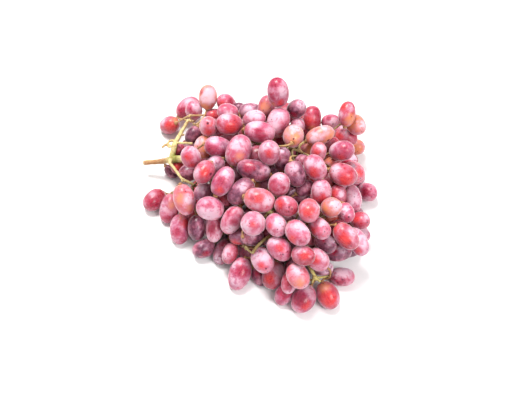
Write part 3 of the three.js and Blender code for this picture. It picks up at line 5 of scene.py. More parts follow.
import bpy
import numpy as np
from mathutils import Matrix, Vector


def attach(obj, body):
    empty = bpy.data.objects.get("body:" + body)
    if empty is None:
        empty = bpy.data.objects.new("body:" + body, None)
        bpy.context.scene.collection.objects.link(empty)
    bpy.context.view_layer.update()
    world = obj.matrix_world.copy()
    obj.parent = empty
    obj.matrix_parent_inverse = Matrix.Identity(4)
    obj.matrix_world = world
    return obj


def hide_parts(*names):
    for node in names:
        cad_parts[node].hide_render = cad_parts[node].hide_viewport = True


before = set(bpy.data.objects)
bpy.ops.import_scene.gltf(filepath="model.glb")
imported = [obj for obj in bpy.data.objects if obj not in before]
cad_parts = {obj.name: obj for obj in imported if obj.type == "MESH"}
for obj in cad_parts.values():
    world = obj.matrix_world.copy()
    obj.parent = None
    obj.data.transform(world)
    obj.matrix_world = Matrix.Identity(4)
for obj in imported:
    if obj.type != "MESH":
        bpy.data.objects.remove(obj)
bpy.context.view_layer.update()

MM = 0.001

# Main stem and the bare side stems: points along each one, (x, y, z, radius).

RACHIS = [
    [(-101.23, 33.9, 13, 2.1), (-88.15, 33.01, 15.56, 2.2), (-80.7, 31.66, 19.13, 2.6), (-74.96, 29.53, 23.25, 3), (-70.55, 29.67, 24.47, 2.9)],
    [(-70.55, 29.67, 24.47, 2.9), (-59.23, 23.34, 30.73, 2.76), (-56.95, 21.65, 31.38, 2.73), (-36.22, 2.98, 32.3, 2.5), (-12.25, -15.34, 34.76, 2.38), (5.19, -29.91, 34.91, 2.22), (17.42, -42.51, 34.34, 2.09), (24.5, -51.23, 33.11, 2), (30, -59.75, 30.56, 1.87), (39.29, -76.54, 24, 1.5)],
    [(-74.96, 29.53, 23.25, 3), (-75.23, 33.32, 23.31, 2.5), (-72.94, 38.69, 28.91, 2.4), (-72.76, 40.46, 30.57, 2.35), (-71.54, 49.5, 25.94, 1.95), (-68.4, 55.94, 27.28, 1.75), (-65.11, 62.53, 29.02, 1.5), (-62.08, 67.72, 31.74, 1.25)],
    [(-74.96, 29.53, 23.25, 3), (-76.75, 23.19, 27.19, 1.3), (-73.21, 19.73, 26.09, 1.2), (-66.6, 9.01, 26.19, 1.1), (-63.96, 5.92, 25.4, 0.9)],
    [(39.29, -76.54, 24, 1.5), (44.03, -83.86, 18, 1.1), (49.37, -81.99, 15.74, 0.9), (54.2, -80.53, 15.22, 0.8)],
    [(-73.28, 37.89, 28.08, 1.3), (-79.99, 44.59, 26.61, 1.2), (-84.47, 42.35, 23.85, 0.95)],
    [(-63.96, 5.92, 25.4, 1.2), (-57.97, 3.59, 25, 1.1), (-52.01, -0.05, 23.58, 1)],
    [(44.03, -83.86, 18, 0.9), (47.83, -86.68, 17.49, 0.9)],
    [(43.27, -82.69, 18.96, 0.9), (41.36, -86.65, 15, 0.8)],
    [(16.79, 25.91, 44.78, 1.2), (25.9, 23.84, 46, 1.2), (31.65, 21.38, 46, 1.1), (42.19, 14.82, 46, 0.9)],
    [(-7.46, 20.64, 42, 1.1), (-4.12, 23.32, 44, 1.1), (-0.78, 26.8, 45, 1)],
    [(-10.2, -66.34, 35.68, 0.8), (-7.86, -69.96, 35.71, 0.8), (-5.14, -72.79, 37.44, 0.7)],
    [(29.51, 22.3, 46, 0.9), (27.12, 16.69, 52.22, 0.8), (27.32, 12.17, 50, 0.8), (29.48, 8.15, 48.49, 0.8)],
    [(36.8, 18.17, 46, 0.9), (32.3, 10.95, 59.98, 0.8), (32.61, 13.25, 63.54, 0.7), (36.3, 15.45, 64.03, 0.7)],
    [(16.79, 25.91, 44.78, 1.2), (4.8, 11.87, 41.8, 1.2), (-7.2, -0.13, 40.62, 1.2), (-17.74, -11.15, 34.2, 1.2)],
    [(-7.46, 20.64, 42, 1.2), (-11.65, 16.17, 36.92, 1.2), (-14.04, 11.85, 34.49, 1.2), (-16.91, 5.87, 33.8, 1.2), (-26.66, -4.33, 33.28, 1.2)],
    [(-5.14, -72.79, 37.44, 1.2), (-2.24, -67.53, 38.16, 1.2), (6.3, -59.08, 38.25, 1.2), (13.83, -53.7, 37.68, 1.2), (20.97, -46.88, 33.72, 1.2)],
    [(42.3, 14.87, 36.75, 1.02), (42.3, 14.87, 42.75, 1.02)],
    [(42.3, 14.87, 42.75, 1.29), (42.19, 14.82, 46, 1.29)],
    [(42.3, -42.13, 33.75, 1.02), (36.3, -44.59, 33.75, 1.02), (28.8, -51.13, 33.75, 1.02)],
    [(-24.75, -5.78, 33.47, 1.11), (-24.74, -5.79, 33.48, 1.11)],
    [(-1.2, 32.87, 45.75, 1.5), (-0.78, 26.8, 45, 1.5)],
    [(38.65, -75.38, 24.46, 1.02), (39.29, -76.54, 24, 1.02)],
    [(0.3, 53.87, 42.75, 1.02), (0.12, 47.87, 42.99, 1.02), (-1.2, 40.37, 45.75, 1.02)],
    [(28.8, -51.13, 33.75, 1.47), (24.74, -51.6, 33, 1.47)],
    [(32.39, -64.07, 28.87, 1.02), (32.34, -63.97, 28.91, 1.02)],
    [(-10.2, -66.13, 32.25, 1.11), (-10.2, -66.34, 35.68, 1.11)],
    [(16.79, 25.91, 44.78, 1.02), (16.27, 25.3, 44.65, 1.02)],
    [(43.09, 14.83, 45.07, 1.2), (42.19, 14.82, 46, 1.2)],
    [(42.3, 8.87, 45.75, 1.02), (42.19, 14.82, 46, 1.02)],
    [(42.3, 37.37, 38.25, 1.02), (35.45, 29.87, 44.43, 1.02), (32.35, 20.95, 46, 1.02)],
    [(45.3, 14.87, 42.75, 1.11), (42.19, 14.82, 46, 1.11)],
    [(-1.2, 40.37, 45.75, 1.29), (-1.2, 32.87, 45.75, 1.29)],
    [(-59.7, 65.87, 30.75, 1.02), (-62.08, 67.72, 31.74, 1.02)],
    [(-72.38, 43.27, 29.13, 1.15), (-69.34, 41.13, 31.5, 1.1), (-65.94, 38.67, 34.5, 1), (-61.16, 35.38, 38.5, 0.95), (-56.49, 31.96, 42, 1)],
    [(-71.97, 46.29, 27.59, 1.2), (-77.17, 46.74, 28.5, 1), (-79.27, 43.67, 28, 0.95), (-78.95, 40.13, 27, 0.9), (-75.85, 40.46, 27.51, 0.85)],
]

BRANCHES = [
    (1, [
        (-89.39, -2.14, 7.48, -0.627, -0.773, 0.092, 11.12, 8.55, "R", [(-79.8, 5.67, 5.8, 0.78), (-77.5, 4.52, 6.95, 0.78), (-71.75, 1.07, 12.7, 0.78), (-72.02, -0.73, 16.81, 0.54)], [("c", 0, -6.6, 6.5, 5.19), ("w", -1.1, 0.3, 8.5, 2.59)]),
        (-75.93, -11.41, 8.55, -0.206, -0.82, -0.533, 13.02, 8.04, "K", [(-72.02, -0.73, 16.81, 0.83), (-68.7, 2.87, 21.75, 0.82), (-67.2, 2.87, 23.25, 0.82)], [("a", 3.1, -1.9, 7.6, 2.99), ("c", -2.1, -10.3, 0.5, 2.13), ("w", -4.6, -2, 6.3, 3.41)]),
    ], [[(-67.5, 2.64, 23.13, 0.8), (-66.35, 3.53, 23.59, 0.75)]], [(-72.02, -0.73, 16.81, 0.83)]),
    (2, [
        (-77.57, 30.58, 4.7, 0.702, -0.514, -0.492, 7.07, 4.86, "P", [(-83.7, 35.87, 11.25, 0.8), (-77.35, 34.28, 17.6, 0.72)], []),
        (-70.79, 41.53, 20, 0.432, 0.082, 0.898, 7.93, 6.1, "R", [(-76.2, 40.37, 11.25, 0.8), (-77.79, 34.02, 17.6, 0.72)], []),
        (-61.18, 53.5, 9.97, 0.537, 0.763, -0.361, 11.66, 8.72, "M", [(-67.17, 41.85, 12.68, 0.8), (-71.66, 37.74, 12.44, 0.72), (-78.06, 34.17, 17.54, 0.72)], []),
    ], [[(-77.48, 34.63, 17.05, 0.8), (-78.08, 33.92, 17.61, 0.75)]], [(-77.7, 34.37, 17.25, 0.72)]),
    (3, [
        (-36.27, -32.64, 11.37, -0.101, -0.907, -0.409, 11.45, 9.14, "M", [(-23.47, -5.78, 29.52, 0.82)], []),
        (-35.75, -44.03, 26.75, -0.087, -0.84, -0.535, 10.83, 7.02, "K", [(-32.05, -16.63, 29.27, 0.72), (-25.2, -7.63, 29.25, 0.82), (-23.35, -5.78, 29.25, 0.82)], [("c", -0.8, -3.8, 5.9, 3.62), ("w", 2.2, -9.1, -2.1, 2.41)]),
        (-26.81, -20.01, 38.06, -0.02, -0.867, 0.499, 11.16, 8.27, "D", [(-25.2, -7.63, 29.25, 0.53)], []),
        (-3.69, -3.03, 13.13, 0.879, 0.212, -0.428, 12.19, 9, "M", [(-24.04, -6.16, 29.62, 0.82)], []),
    ], [[(-23.62, -6.14, 28.86, 0.8), (-23.96, -6.05, 29.99, 0.75)]], [(-25.2, -7.63, 29.25, 0.82), (-23.7, -6.13, 29.25, 0.82)]),
    (4, [
        (-60.29, -22.66, 37.44, 0.241, -0.781, -0.576, 12.91, 8.68, "S", [(-66, -10.19, 41.93, 0.78), (-56.31, -10.64, 27.26, 0.72)], [("a", -2.6, -4.4, 7.1, 4.05), ("w", 3.7, -4.1, 6.7, 3.24), ("c", -0.4, 2.2, 10.1, 1.46), ("a", 5.1, -8.5, 1.7, 2.43)]),
        (-65.5, -32.8, 9.04, -0.069, -0.842, -0.534, 12.86, 8.71, "M", [(-55.2, -4.63, 26.25, 0.53)], [("r", 5.5, 1, 7.8, 3.76), ("c", -1.7, -6.5, 5.8, 3.34), ("w", -5.3, 2.1, 7.7, 3.34), ("a", 2.1, 4.6, 9.8, 1.67)]),
        (-50.97, -36.61, 17.6, 0, -0.84, -0.542, 10.64, 7.37, "P", [(-55.95, -16.63, 27.55, 0.72), (-56.64, -10.13, 27.68, 0.72)], [("p", 2.4, -6.6, 3.4, 4.11)]),
        (-50.04, 3.13, 9.77, 0.083, -0.731, -0.677, 12.2, 9.19, "R", [(-50.7, 13.37, 20.25, 0.8), (-51.31, 4.35, 25.72, 0.72), (-55.14, -1.66, 26.48, 0.82), (-55.2, -4.63, 26.25, 0.82), (-56.7, -11.1, 27.79, 0.72)], []),
        (-59.75, -13.63, 8.11, 0.115, -0.846, -0.521, 10.91, 8.36, "S", [(-55.14, -1.66, 26.48, 0.53)], []),
    ], [[(-55.35, -1.91, 26.49, 0.8), (-54.5, -0.54, 25.26, 0.75)]], [(-55.14, -1.66, 26.48, 0.82), (-56.59, -10.63, 27.67, 0.72), (-55.2, -4.63, 26.25, 0.82)]),
    (5, [
        (-45.24, -16.44, 39.32, -0.479, -0.838, 0.263, 8.95, 6.89, "G", [(-38.9, -0.06, 32.43, 0.8)], [("w", 0.3, -1.1, 7, 3.25), ("p", -2, -7.6, 3.7, 2.44)]),
        (-36.37, 1.36, 50.7, -0.716, -0.688, -0.115, 9.49, 7.3, "P", [(-28.2, 8.87, 51.75, 0.8), (-29.58, 7.87, 47.35, 0.72), (-39.26, -0.72, 32.26, 0.8)], [("p", 3.4, -3.3, 5.5, 3.25), ("w", -1.5, 1.7, 7, 3.25)]),
        (-46.54, -9.71, 25.34, -0.603, -0.697, -0.387, 10.45, 8.16, "D", [(-38.81, -0.21, 32.99, 0.8)], []),
    ], [[(-38.95, -0.44, 32.28, 0.8), (-38.46, 0.15, 32.2, 0.75)]], [(-39.02, -0.5, 32.64, 0.8)]),
    (6, [
        (-28.51, -19.62, 57.96, 0.469, 0.723, 0.508, 12.59, 8.06, "M", [(-34.29, -28.5, 49.93, 0.8), (-34, -16.68, 44.49, 0.72), (-32.68, -13.6, 43.09, 0.77)], [("r", -1.9, -9.4, 1.5, 3.31), ("c", -1.1, -4.5, 6.6, 3.55), ("w", 4.3, 1.6, 8.9, 3.15)]),
        (-16.61, 8.89, 60.9, 0.375, 0.729, 0.573, 13.49, 9.87, "K", [(-28.2, -3.13, 45.75, 0.82), (-28.19, -3.12, 38.29, 0.53)], [("a", 1.5, -9.4, 3.8, 3.07), ("w", -1.7, -1.2, 10.1, 4.85), ("r", -4.1, -10.5, 1.4, 1.62), ("d", -7.3, -3.7, 5.6, 0.78)]),
        (-43.34, -11.65, 59.62, -0.487, -0.87, -0.076, 10.29, 7.91, "R", [(-37.66, -1.64, 60.05, 0.78), (-43.41, -0.49, 56.6, 0.78), (-45.71, -5.09, 52, 0.78), (-32.51, -14.27, 43.04, 0.77)], [("r", 1.1, -4.8, 6.5, 3.97), ("w", -5.2, -3.4, 5.8, 2.38), ("d", 5.6, -4.5, 3.4, 1.33)]),
        (-18.78, -0.45, 43.43, 0.493, 0.541, 0.682, 8.33, 6.41, "P", [(-28.19, -3.12, 38.29, 0.82), (-33.05, -14.45, 43.47, 0.77)], []),
    ], [[(-28.22, -3.1, 38.65, 0.8), (-28.12, -3.32, 36.7, 0.75)]], [(-28.19, -3.12, 38.29, 0.82), (-32.86, -14.02, 43.28, 0.77)]),
    (7, [
        (-41.66, -14.98, 10.08, -0.589, -0.591, -0.552, 10.79, 8.11, "R", [(-37.22, 1.7, 28.13, 0.82)], []),
        (-25.33, 11.5, 36.62, 0.644, 0.269, 0.716, 11.64, 8.58, "D", [(-35.7, 4.37, 26.25, 0.53)], []),
        (-27.07, -3.46, 11.89, 0.489, -0.048, -0.871, 10.98, 8.35, "P", [(-37.47, 1.58, 28.12, 0.82)], []),
        (-18.95, 12.99, 13.37, 0.802, 0.544, -0.248, 11.11, 8.66, "K", [(-35.7, 4.37, 26.25, 0.82), (-37.4, 0.96, 27.95, 0.82)], []),
    ], [[(-37.22, 2.85, 27.35, 0.8), (-37.17, 2.89, 28.73, 0.75)]], [(-35.7, 4.37, 26.25, 0.82), (-37.2, 1.37, 27.75, 0.82)]),
    (8, [
        (-27.69, 31.21, 40.17, 0.842, 0.508, 0.184, 12.26, 9.19, "D", [(-48.21, 9.32, 39.04, 0.72)], []),
        (-55.13, 6.79, 55.1, -0.195, 0.121, 0.973, 10.54, 8.1, "K", [(-47.65, 9.93, 38.65, 0.72)], [("r", -1.6, -5.9, 6.6, 2.85), ("r", 2, -7.9, 0, 2.04), ("w", 3.7, 1.7, 8.6, 4.07), ("w", -5.9, 1.2, 7.9, 2.44)]),
    ], [[(-44.61, 11.95, 35.63, 0.8), (-44.7, 11.92, 35.46, 0.75)]], []),
    (9, [
        (-59.73, 16.94, 22, -0.74, -0.661, 0.125, 9.96, 7.66, "P", [(-49.2, 25.37, 20.25, 0.8), (-49.41, 23.03, 31.43, 0.72), (-55.12, 19.67, 36.52, 0.72)], []),
        (-46.37, 26.88, 43.2, -0.135, -0.95, -0.283, 10.36, 7.97, "A", [(-46.42, 39.26, 45.67, 0.8), (-54.11, 33.15, 38.77, 0.72), (-54.8, 19.39, 36.12, 0.72)], [("a", 0, -4.2, 6.9, 4.22), ("w", -4.4, 1.3, 6.7, 3.37)]),
        (-33.4, 18.06, 54.49, 0.977, -0.13, -0.169, 11.88, 8.4, "M", [(-53.94, 19.37, 47.25, 0.72), (-54.81, 19.9, 35.71, 0.72)], [("c", -4.7, -6, 4.8, 4.11), ("p", 5.8, -3.1, 6.3, 4.11), ("w", -3.1, 1.5, 8.3, 4.11)]),
    ], [[(-55.27, 19.34, 35.64, 0.8), (-55.16, 19.37, 35.26, 0.75)]], [(-54.77, 19.88, 36.21, 0.72)]),
    (10, [
        (-53.49, 37.21, 9.42, 0.494, 0.284, -0.822, 11.18, 8.79, "M", [(-61.09, 28.51, 28.06, 0.72)], []),
        (-68.79, 28.42, 14.06, -0.808, -0.359, 0.467, 8.55, 6.58, "R", [(-59.97, 29.53, 8.14, 0.8), (-59.73, 27.62, 14.24, 0.72), (-61.02, 28.78, 28.13, 0.72)], [("r", 0.7, -4.2, 5.5, 4.39)]),
        (-35.47, 36.01, 13.57, 0.898, 0.41, -0.163, 10.54, 8.1, "W", [(-61.37, 28.66, 27.92, 0.72)], []),
    ], [[(-60.96, 28.73, 27.76, 0.8), (-60.98, 28.59, 27.47, 0.75)]], [(-60.97, 28.74, 27.64, 0.72)]),
    (11, [
        (-42.24, 39.23, 55.59, 0.052, -0.085, 0.995, 9.77, 7.52, "S", [(-44.7, 38.87, 42.75, 0.8), (-50.05, 34.2, 36.93, 0.72), (-52.2, 28.37, 32.25, 0.53)], [("r", 0.1, -7.4, 2.2, 2.94), ("d", 0.1, -4, 8.5, 1.11), ("w", -4.8, -3.6, 5.9, 2.1)]),
        (-35.85, 19.42, 13.06, 0.734, 0.256, -0.629, 10.92, 8.19, "R", [(-54.02, 24.06, 31.09, 0.82)], []),
        (-35.86, 47.29, 40.79, 0.772, 0.454, 0.445, 12.09, 8.91, "D", [(-52.2, 28.37, 32.25, 0.82), (-53.85, 23.42, 30.6, 0.82)], []),
        (-17.76, 46.75, 14.1, 0.752, 0.541, -0.377, 11.12, 8.14, "M", [(-40.2, 28.96, 30, 0.72), (-54.17, 23.69, 30.78, 0.82)], []),
    ], [[(-53.51, 24.22, 30.73, 0.8), (-53.63, 23.67, 30.64, 0.75)]], [(-52.2, 28.37, 32.25, 0.82), (-53.7, 23.87, 30.75, 0.82)]),
    (12, [
        (-56.99, 48.01, 34, -0.498, -0.69, -0.525, 8.54, 6.53, "P", [(-51.88, 55.51, 39.6, 0.78), (-50.73, 56.66, 38.45, 0.78), (-49.58, 65.86, 31.55, 0.78), (-43.83, 68.16, 25.8, 0.78), (-39.68, 65.77, 21.52, 0.82)], []),
        (-21.07, 62.15, 7.34, 0.922, 0.336, -0.195, 10.89, 8.12, "M", [(-40.3, 66.14, 22.2, 0.82)], []),
        (-17.62, 63.28, 24.91, 0.767, 0.501, 0.401, 10.83, 8.21, "D", [(-40.46, 66.16, 21.86, 0.82)], []),
    ], [[(-57.92, 65.87, 32.53, 0.8), (-58.19, 65.87, 32.26, 0.75)]], [(-40.01, 65.95, 21.85, 0.82)]),
    (13, [
        (-49.03, 72.49, 9.71, 0.424, 0.862, -0.277, 11.38, 8.33, "S", [(-65.7, 52.37, 29.25, 0.82), (-57.74, 52.37, 26.06, 0.82)], []),
        (-42.83, 55.7, 11.71, 0.649, 0.466, -0.601, 11.25, 8.18, "K", [(-58.56, 52.41, 26.6, 0.82)], []),
        (-42.85, 58.46, 29.3, 0.826, 0.481, 0.294, 11.23, 8.37, "D", [(-58.69, 52.27, 26.23, 0.82)], []),
    ], [[(-65.36, 52.28, 29.44, 0.8), (-67.24, 52.71, 28.38, 0.75)]], [(-58.2, 52.37, 26.25, 0.82)]),
    (14, [
        (-39.79, 80.14, 22.59, -0.835, -0.365, 0.412, 8.85, 6.81, "R", [(-31.18, 85.42, 18.72, 0.8), (-38.68, 88.16, 18.72, 0.72), (-44.64, 86.11, 19.34, 0.72), (-51.05, 79.41, 23.7, 0.72), (-61.57, 73.15, 31.01, 0.92)], [("r", -1.1, -3.6, 6.5, 3.64)]),
        (-58.57, 85.09, 24.2, 0.002, 0.008, 1, 10, 7.7, "K", [(-58.2, 83.87, 11.25, 0.8), (-60.67, 78.12, 15.97, 0.72), (-61.2, 74.87, 21.75, 0.82), (-61.2, 73.29, 31.24, 0.92)], [("c", -2.4, -5.3, 6.5, 1.83), ("c", 0.6, -7.2, 3.4, 1.1), ("w", 4.2, -2.6, 7.6, 3.66), ("w", -4.1, -6.4, 1.2, 2.29)]),
        (-65.46, 97.52, 13.8, 0.74, 0.542, 0.398, 12.51, 9.26, "K", [(-76.2, 89.87, 8.25, 0.8), (-61.2, 74.87, 21.75, 0.53)], [("c", -4.7, -7.7, 4.4, 3.28), ("w", 2.6, -2.1, 9.1, 3.75)]),
        (-81.89, 81.1, 8.69, -0.638, 0.335, -0.693, 10.75, 8.27, "R", [(-60.86, 73.26, 31.11, 0.92)], [("r", 1.5, -6.8, 6.7, 5.12), ("a", 6.3, -2.2, 8.3, 2.79), ("w", -5.3, -1.6, 6.2, 2.79)]),
    ], [[(-61.1, 70.68, 33.98, 0.8), (-61.54, 69.35, 32.97, 0.75)]], [(-61.2, 74.87, 21.75, 0.82), (-61.2, 73.37, 30.75, 0.92)]),
    (15, [
        (-29.1, 88.61, 29.73, -0.483, -0.101, 0.87, 10.55, 8.12, "K", [(-22.2, 89.87, 18.75, 0.8), (-35.7, 72.12, 23.21, 0.72), (-47.71, 68.25, 23.3, 0.72), (-53.71, 64.38, 24.74, 0.53)], [("c", 4.3, -3.1, 6.6, 2.73), ("r", -3.6, -6.3, 6.1, 3.19)]),
        (-27.31, 81.31, 8.03, 0.76, 0.646, -0.074, 12.24, 8.92, "R", [(-44.79, 65.69, 18.35, 0.72), (-53.71, 64.38, 24.74, 0.82), (-56.7, 64.37, 27.75, 0.92), (-56.7, 64.37, 29.25, 0.92)], []),
        (-45.62, 90.86, 35.47, 0.07, 0.734, 0.676, 11.22, 8.3, "A", [(-50.52, 71.87, 26.26, 0.72), (-56.7, 64.37, 27.75, 0.6)], [("c", -5.8, 0.2, 6.6, 2), ("a", -2.9, -9.4, -3.9, 4.54), ("w", 2.4, -5.3, 6, 6.35), ("w", -3.9, -6.1, 4.3, 3.63)]),
    ], [[(-56.37, 64.21, 29.09, 0.8), (-58, 65.02, 29.9, 0.75)]], [(-53.71, 64.38, 24.74, 0.82), (-56.7, 64.37, 27.75, 0.92)]),
    (16, [
        (-23.14, -61.14, 17.55, -0.342, -0.813, -0.472, 8.96, 6.27, "R", [(-21.31, -51.83, 21.34, 0.78), (-16.71, -47.23, 19.04, 0.78), (-7.51, -50.68, 21.34, 0.78), (-2.91, -59.88, 22.49, 0.78), (-3.42, -60.91, 22.47, 0.81)], []),
        (-15.52, -75.13, 9.07, -0.309, -0.832, -0.461, 13.54, 8.96, "M", [(-6.87, -64.26, 16.02, 0.78), (-5.72, -66.56, 17.17, 0.78), (-5.62, -68.19, 17.57, 0.55)], [("c", 2.1, -2.3, 8.6, 4.81), ("w", -4.2, -8.6, 3.8, 4.01), ("w", -3.6, 4.1, 8.5, 2.41)]),
        (-0.62, -75.38, 4.85, 0.5, -0.758, -0.419, 8.44, 5.21, "P", [(-5.62, -68.19, 17.57, 0.84), (-6.48, -67.06, 22.32, 0.83), (-2.98, -60.02, 22.49, 0.81)], [("c", -0.2, 0.2, 5.6, 2.82), ("w", 3.2, 3.9, 2.2, 2.42)]),
        (15.56, -70.94, 41.06, 0.66, -0.749, -0.057, 10.95, 8.42, "K", [(7.1, -62.18, 39.4, 0.78), (7.1, -63.33, 29.05, 0.78), (-3.61, -60.35, 22.21, 0.81)], [("w", -5.1, 2.3, 7.2, 4.61), ("r", 0.1, -3.8, 7.7, 3.07), ("d", 2.4, -8.1, 4.7, 0.83), ("d", -9.4, 4.3, 0.9, 0.92), ("d", 3.9, -7.2, 5.3, 0.64), ("d", 5.7, -6, 5.3, 0.74), ("d", 0.7, -8.1, 4.5, 0.74), ("d", -8.2, 5, 3.8, 0.74)]),
    ], [[(-6.84, -64.45, 32.25, 0.8), (-8.21, -65.14, 32.25, 0.75)]], [(-3.2, -60.46, 22.48, 0.81), (-5.62, -68.19, 17.57, 0.84)]),
    (17, [
        (-5.26, -57.63, 36.61, 0.843, 0.286, -0.455, 9.13, 7.02, "P", [(-13.08, -58.05, 44.24, 0.78), (-11.93, -54.6, 43.09, 0.78), (-11.93, -51.15, 35.04, 0.78), (-6.18, -52.3, 28.14, 0.78), (-6.56, -52.84, 25.82, 0.53)], [("w", -0.3, -1.1, 7.4, 2.74)]),
        (2.56, -75.35, 31.17, 0.357, -0.932, 0.056, 11.06, 8.5, "W", [(-7.2, -63.13, 29.25, 0.82), (-12.14, -63.15, 32.52, 0.82)], [("w", -0.4, 0.3, 8.5, 6.21), ("r", -0.8, -8.3, 5.2, 3.1), ("d", 2.6, -9.7, 3.8, 0.84), ("d", 3.8, 2.4, 7.2, 0.74), ("c", -1.9, 3.4, 7.9, 1.4), ("d", -3.9, 3.2, 7.3, 0.84), ("d", -1.4, 5.9, 7, 0.74)]),
        (-15.73, -51.52, 26.68, -0.967, -0.135, 0.215, 8.12, 6.25, "G", [(-5.7, -51.13, 24.75, 0.52)], []),
        (11.88, -60.3, 8.83, 0.373, -0.576, -0.727, 10.96, 8.3, "M", [(7.1, -53.43, 18.22, 0.78), (-5.7, -51.13, 24.75, 0.8), (-6.56, -52.84, 25.82, 0.81), (-11.92, -63.54, 32.49, 0.82)], []),
        (-45.18, -50.4, 6.97, -0.845, -0.495, 0.203, 10.11, 7.77, "P", [(-35.43, -44.25, 8.1, 0.78), (-31.98, -44.25, 12.7, 0.78), (-29.68, -40.8, 16.15, 0.78), (-25.08, -41.95, 16.15, 0.78), (-23.11, -44.44, 14.68, 0.49)], [("p", -0.2, -1.3, 7.8, 4.94), ("c", 2.2, -6.9, 3.1, 2.47)]),
        (-29.25, -53.75, 7.23, -0.422, -0.786, -0.451, 11.01, 7.34, "P", [(-23.7, -43.63, 14.25, 0.8), (-23.11, -44.44, 14.68, 0.76), (-12.96, -58.39, 22.15, 0.72), (-11.67, -63.36, 32.69, 0.82)], [("c", 0.1, 1.7, 8.1, 2.13), ("c", 1.8, -5.6, 4.6, 1.47), ("w", -3.9, -8.3, 1.3, 3.28)]),
    ], [[(-11.88, -62.77, 32.25, 0.8), (-11.19, -64.14, 32.25, 0.75)]], [(-11.73, -63.15, 32.24, 0.82), (-5.7, -51.13, 24.75, 0.8), (-23.11, -44.44, 14.68, 0.76), (-6.56, -52.84, 25.82, 0.81)]),
    (18, [
        (-4.59, -56.74, 54.35, -0.241, -0.531, 0.812, 12.14, 9.34, "W", [(5.96, -34.73, 33.15, 0.72)], [("w", -6.1, -6.9, 7.1, 3.81), ("r", -0.1, -7.4, 9.3, 2.52), ("d", 3.3, -5.6, 9.1, 0.55), ("w", 6.7, 0.3, 7, 3.05)]),
        (9.22, -49.91, 29, 0.33, -0.8, -0.501, 12.19, 9.07, "D", [(5.78, -34.6, 33.38, 0.72)], []),
        (4.1, -38.69, 13.06, -0.425, -0.433, -0.795, 11.69, 9.09, "K", [(5.68, -35.12, 33.92, 0.72)], []),
        (-8.45, -53.68, 8.95, -0.022, -0.757, -0.654, 11.28, 8.7, "K", [(6.05, -34.87, 33.79, 0.72)], []),
    ], [[(5.86, -35.05, 33.51, 0.8), (5.86, -34.96, 33.5, 0.75)]], [(5.78, -35.09, 33.43, 0.72)]),
    (19, [
        (-21.13, -43.29, 39.21, -0.5, -0.731, -0.464, 12.25, 8.1, "K", [(-11.82, -29.53, 42.7, 0.83), (-7.2, -22.63, 41.25, 0.82), (-6, -20.55, 39.98, 0.82)], [("c", -2.8, 1.1, 7.9, 1.74), ("w", -0.8, -9.5, 1.1, 3.16), ("c", 1.5, -5.8, 5.5, 2.76)]),
        (0.1, -37.44, 57.94, 0.966, -0.214, -0.145, 12.37, 9.28, "S", [(-13.05, -33.66, 56.7, 0.78), (-11.9, -34.81, 53.25, 0.78), (-9.6, -33.66, 46.35, 0.78), (-11.82, -29.53, 42.7, 0.54)], [("r", -0.3, -4, 8.4, 3.48), ("w", 7.4, -4.9, 5.6, 3.86), ("d", 7.8, -4.1, 5.8, 0.83), ("c", -5.6, -2.8, 7.9, 1.39), ("w", -2.6, -8.5, 2.8, 2.32)]),
        (-14.31, -25.42, 52.52, -0.707, -0.583, -0.401, 12.63, 8.29, "P", [(-2.92, -17.65, 54.33, 0.78), (-4.07, -17.65, 52.03, 0.78), (-6.31, -21.06, 39.74, 0.82)], [("p", -3.7, -7.8, 3.5, 3.15), ("w", 1, -1.7, 8.4, 3.55)]),
        (-3.3, -21.77, 10.1, 0.428, -0.241, -0.871, 11.62, 8.58, "P", [(-3.83, -16.39, 32.58, 0.72), (-4.96, -18.74, 38.88, 0.82), (-6.44, -21.31, 40.45, 0.82)], []),
    ], [[(-5.62, -19.59, 38.64, 0.8), (-5.75, -19.59, 38.13, 0.75)]], [(-11.82, -29.53, 42.7, 0.83), (-6.22, -20.93, 40.21, 0.82)]),
    (20, [
        (2.42, -12.42, 43.27, 0.794, -0.359, 0.491, 8.83, 6.79, "P", [(-11.92, -13.65, 39.61, 0.72), (-17, -17.36, 35.87, 0.72)], []),
        (-22.45, -32.92, 25.68, -0.299, -0.954, -0.007, 10.76, 8.11, "D", [(-16.53, -16.83, 36.52, 0.72)], []),
        (-21.38, -19.79, 10.53, -0.086, -0.331, -0.94, 11.92, 8.65, "K", [(-16.54, -17.13, 36.62, 0.72)], []),
        (-38.5, -36.21, 44.52, -0.723, -0.245, 0.646, 12.05, 9.27, "W", [(-26.7, -31.63, 35.25, 0.8), (-18.35, -25.48, 35.25, 0.72), (-16.55, -16.62, 36.18, 0.72)], [("w", 0.3, -8.9, 4, 6.32), ("c", 0, -4.1, 9.5, 2.53), ("c", -3.5, -4.3, 9.7, 1.26), ("d", 6.4, -2, 6.4, 0.57)]),
    ], [[(-16.45, -16.94, 35.28, 0.8), (-16.15, -16.64, 35.38, 0.75)]], [(-16.65, -17.11, 36.13, 0.72)]),
    (21, [
        (-4.27, -8.54, 58.02, -0.966, 0.204, 0.16, 13.85, 8.55, "P", [(12.3, -12.13, 54.75, 0.8), (1.59, -27.57, 40.53, 0.72), (-2.08, -29.7, 34.32, 1.02), (-1.2, -28.63, 32.25, 1.02), (-1.2, -28.63, 30.25, 0.82)], [("c", -3.7, -2.9, 7.9, 4.78), ("w", 11.3, -3.3, 3.2, 3.18), ("d", -12, -2.4, 2, 1.53), ("c", 6.6, -8.2, 1.2, 1.19)]),
        (13.13, -5.04, 25.01, 0.756, 0.628, 0.187, 11.69, 8.83, "D", [(1.8, -15.13, 21.75, 0.8), (-1.4, -25.55, 30.77, 0.82), (-1.2, -28.63, 32.25, 0.66)], []),
        (23.95, 0.2, 9.92, 0.764, 0.402, -0.505, 10.43, 8.39, "M", [(12.11, -6.39, 13.6, 0.8), (1.81, -16.84, 21.27, 0.72), (-1.4, -25.55, 30.77, 0.53)], []),
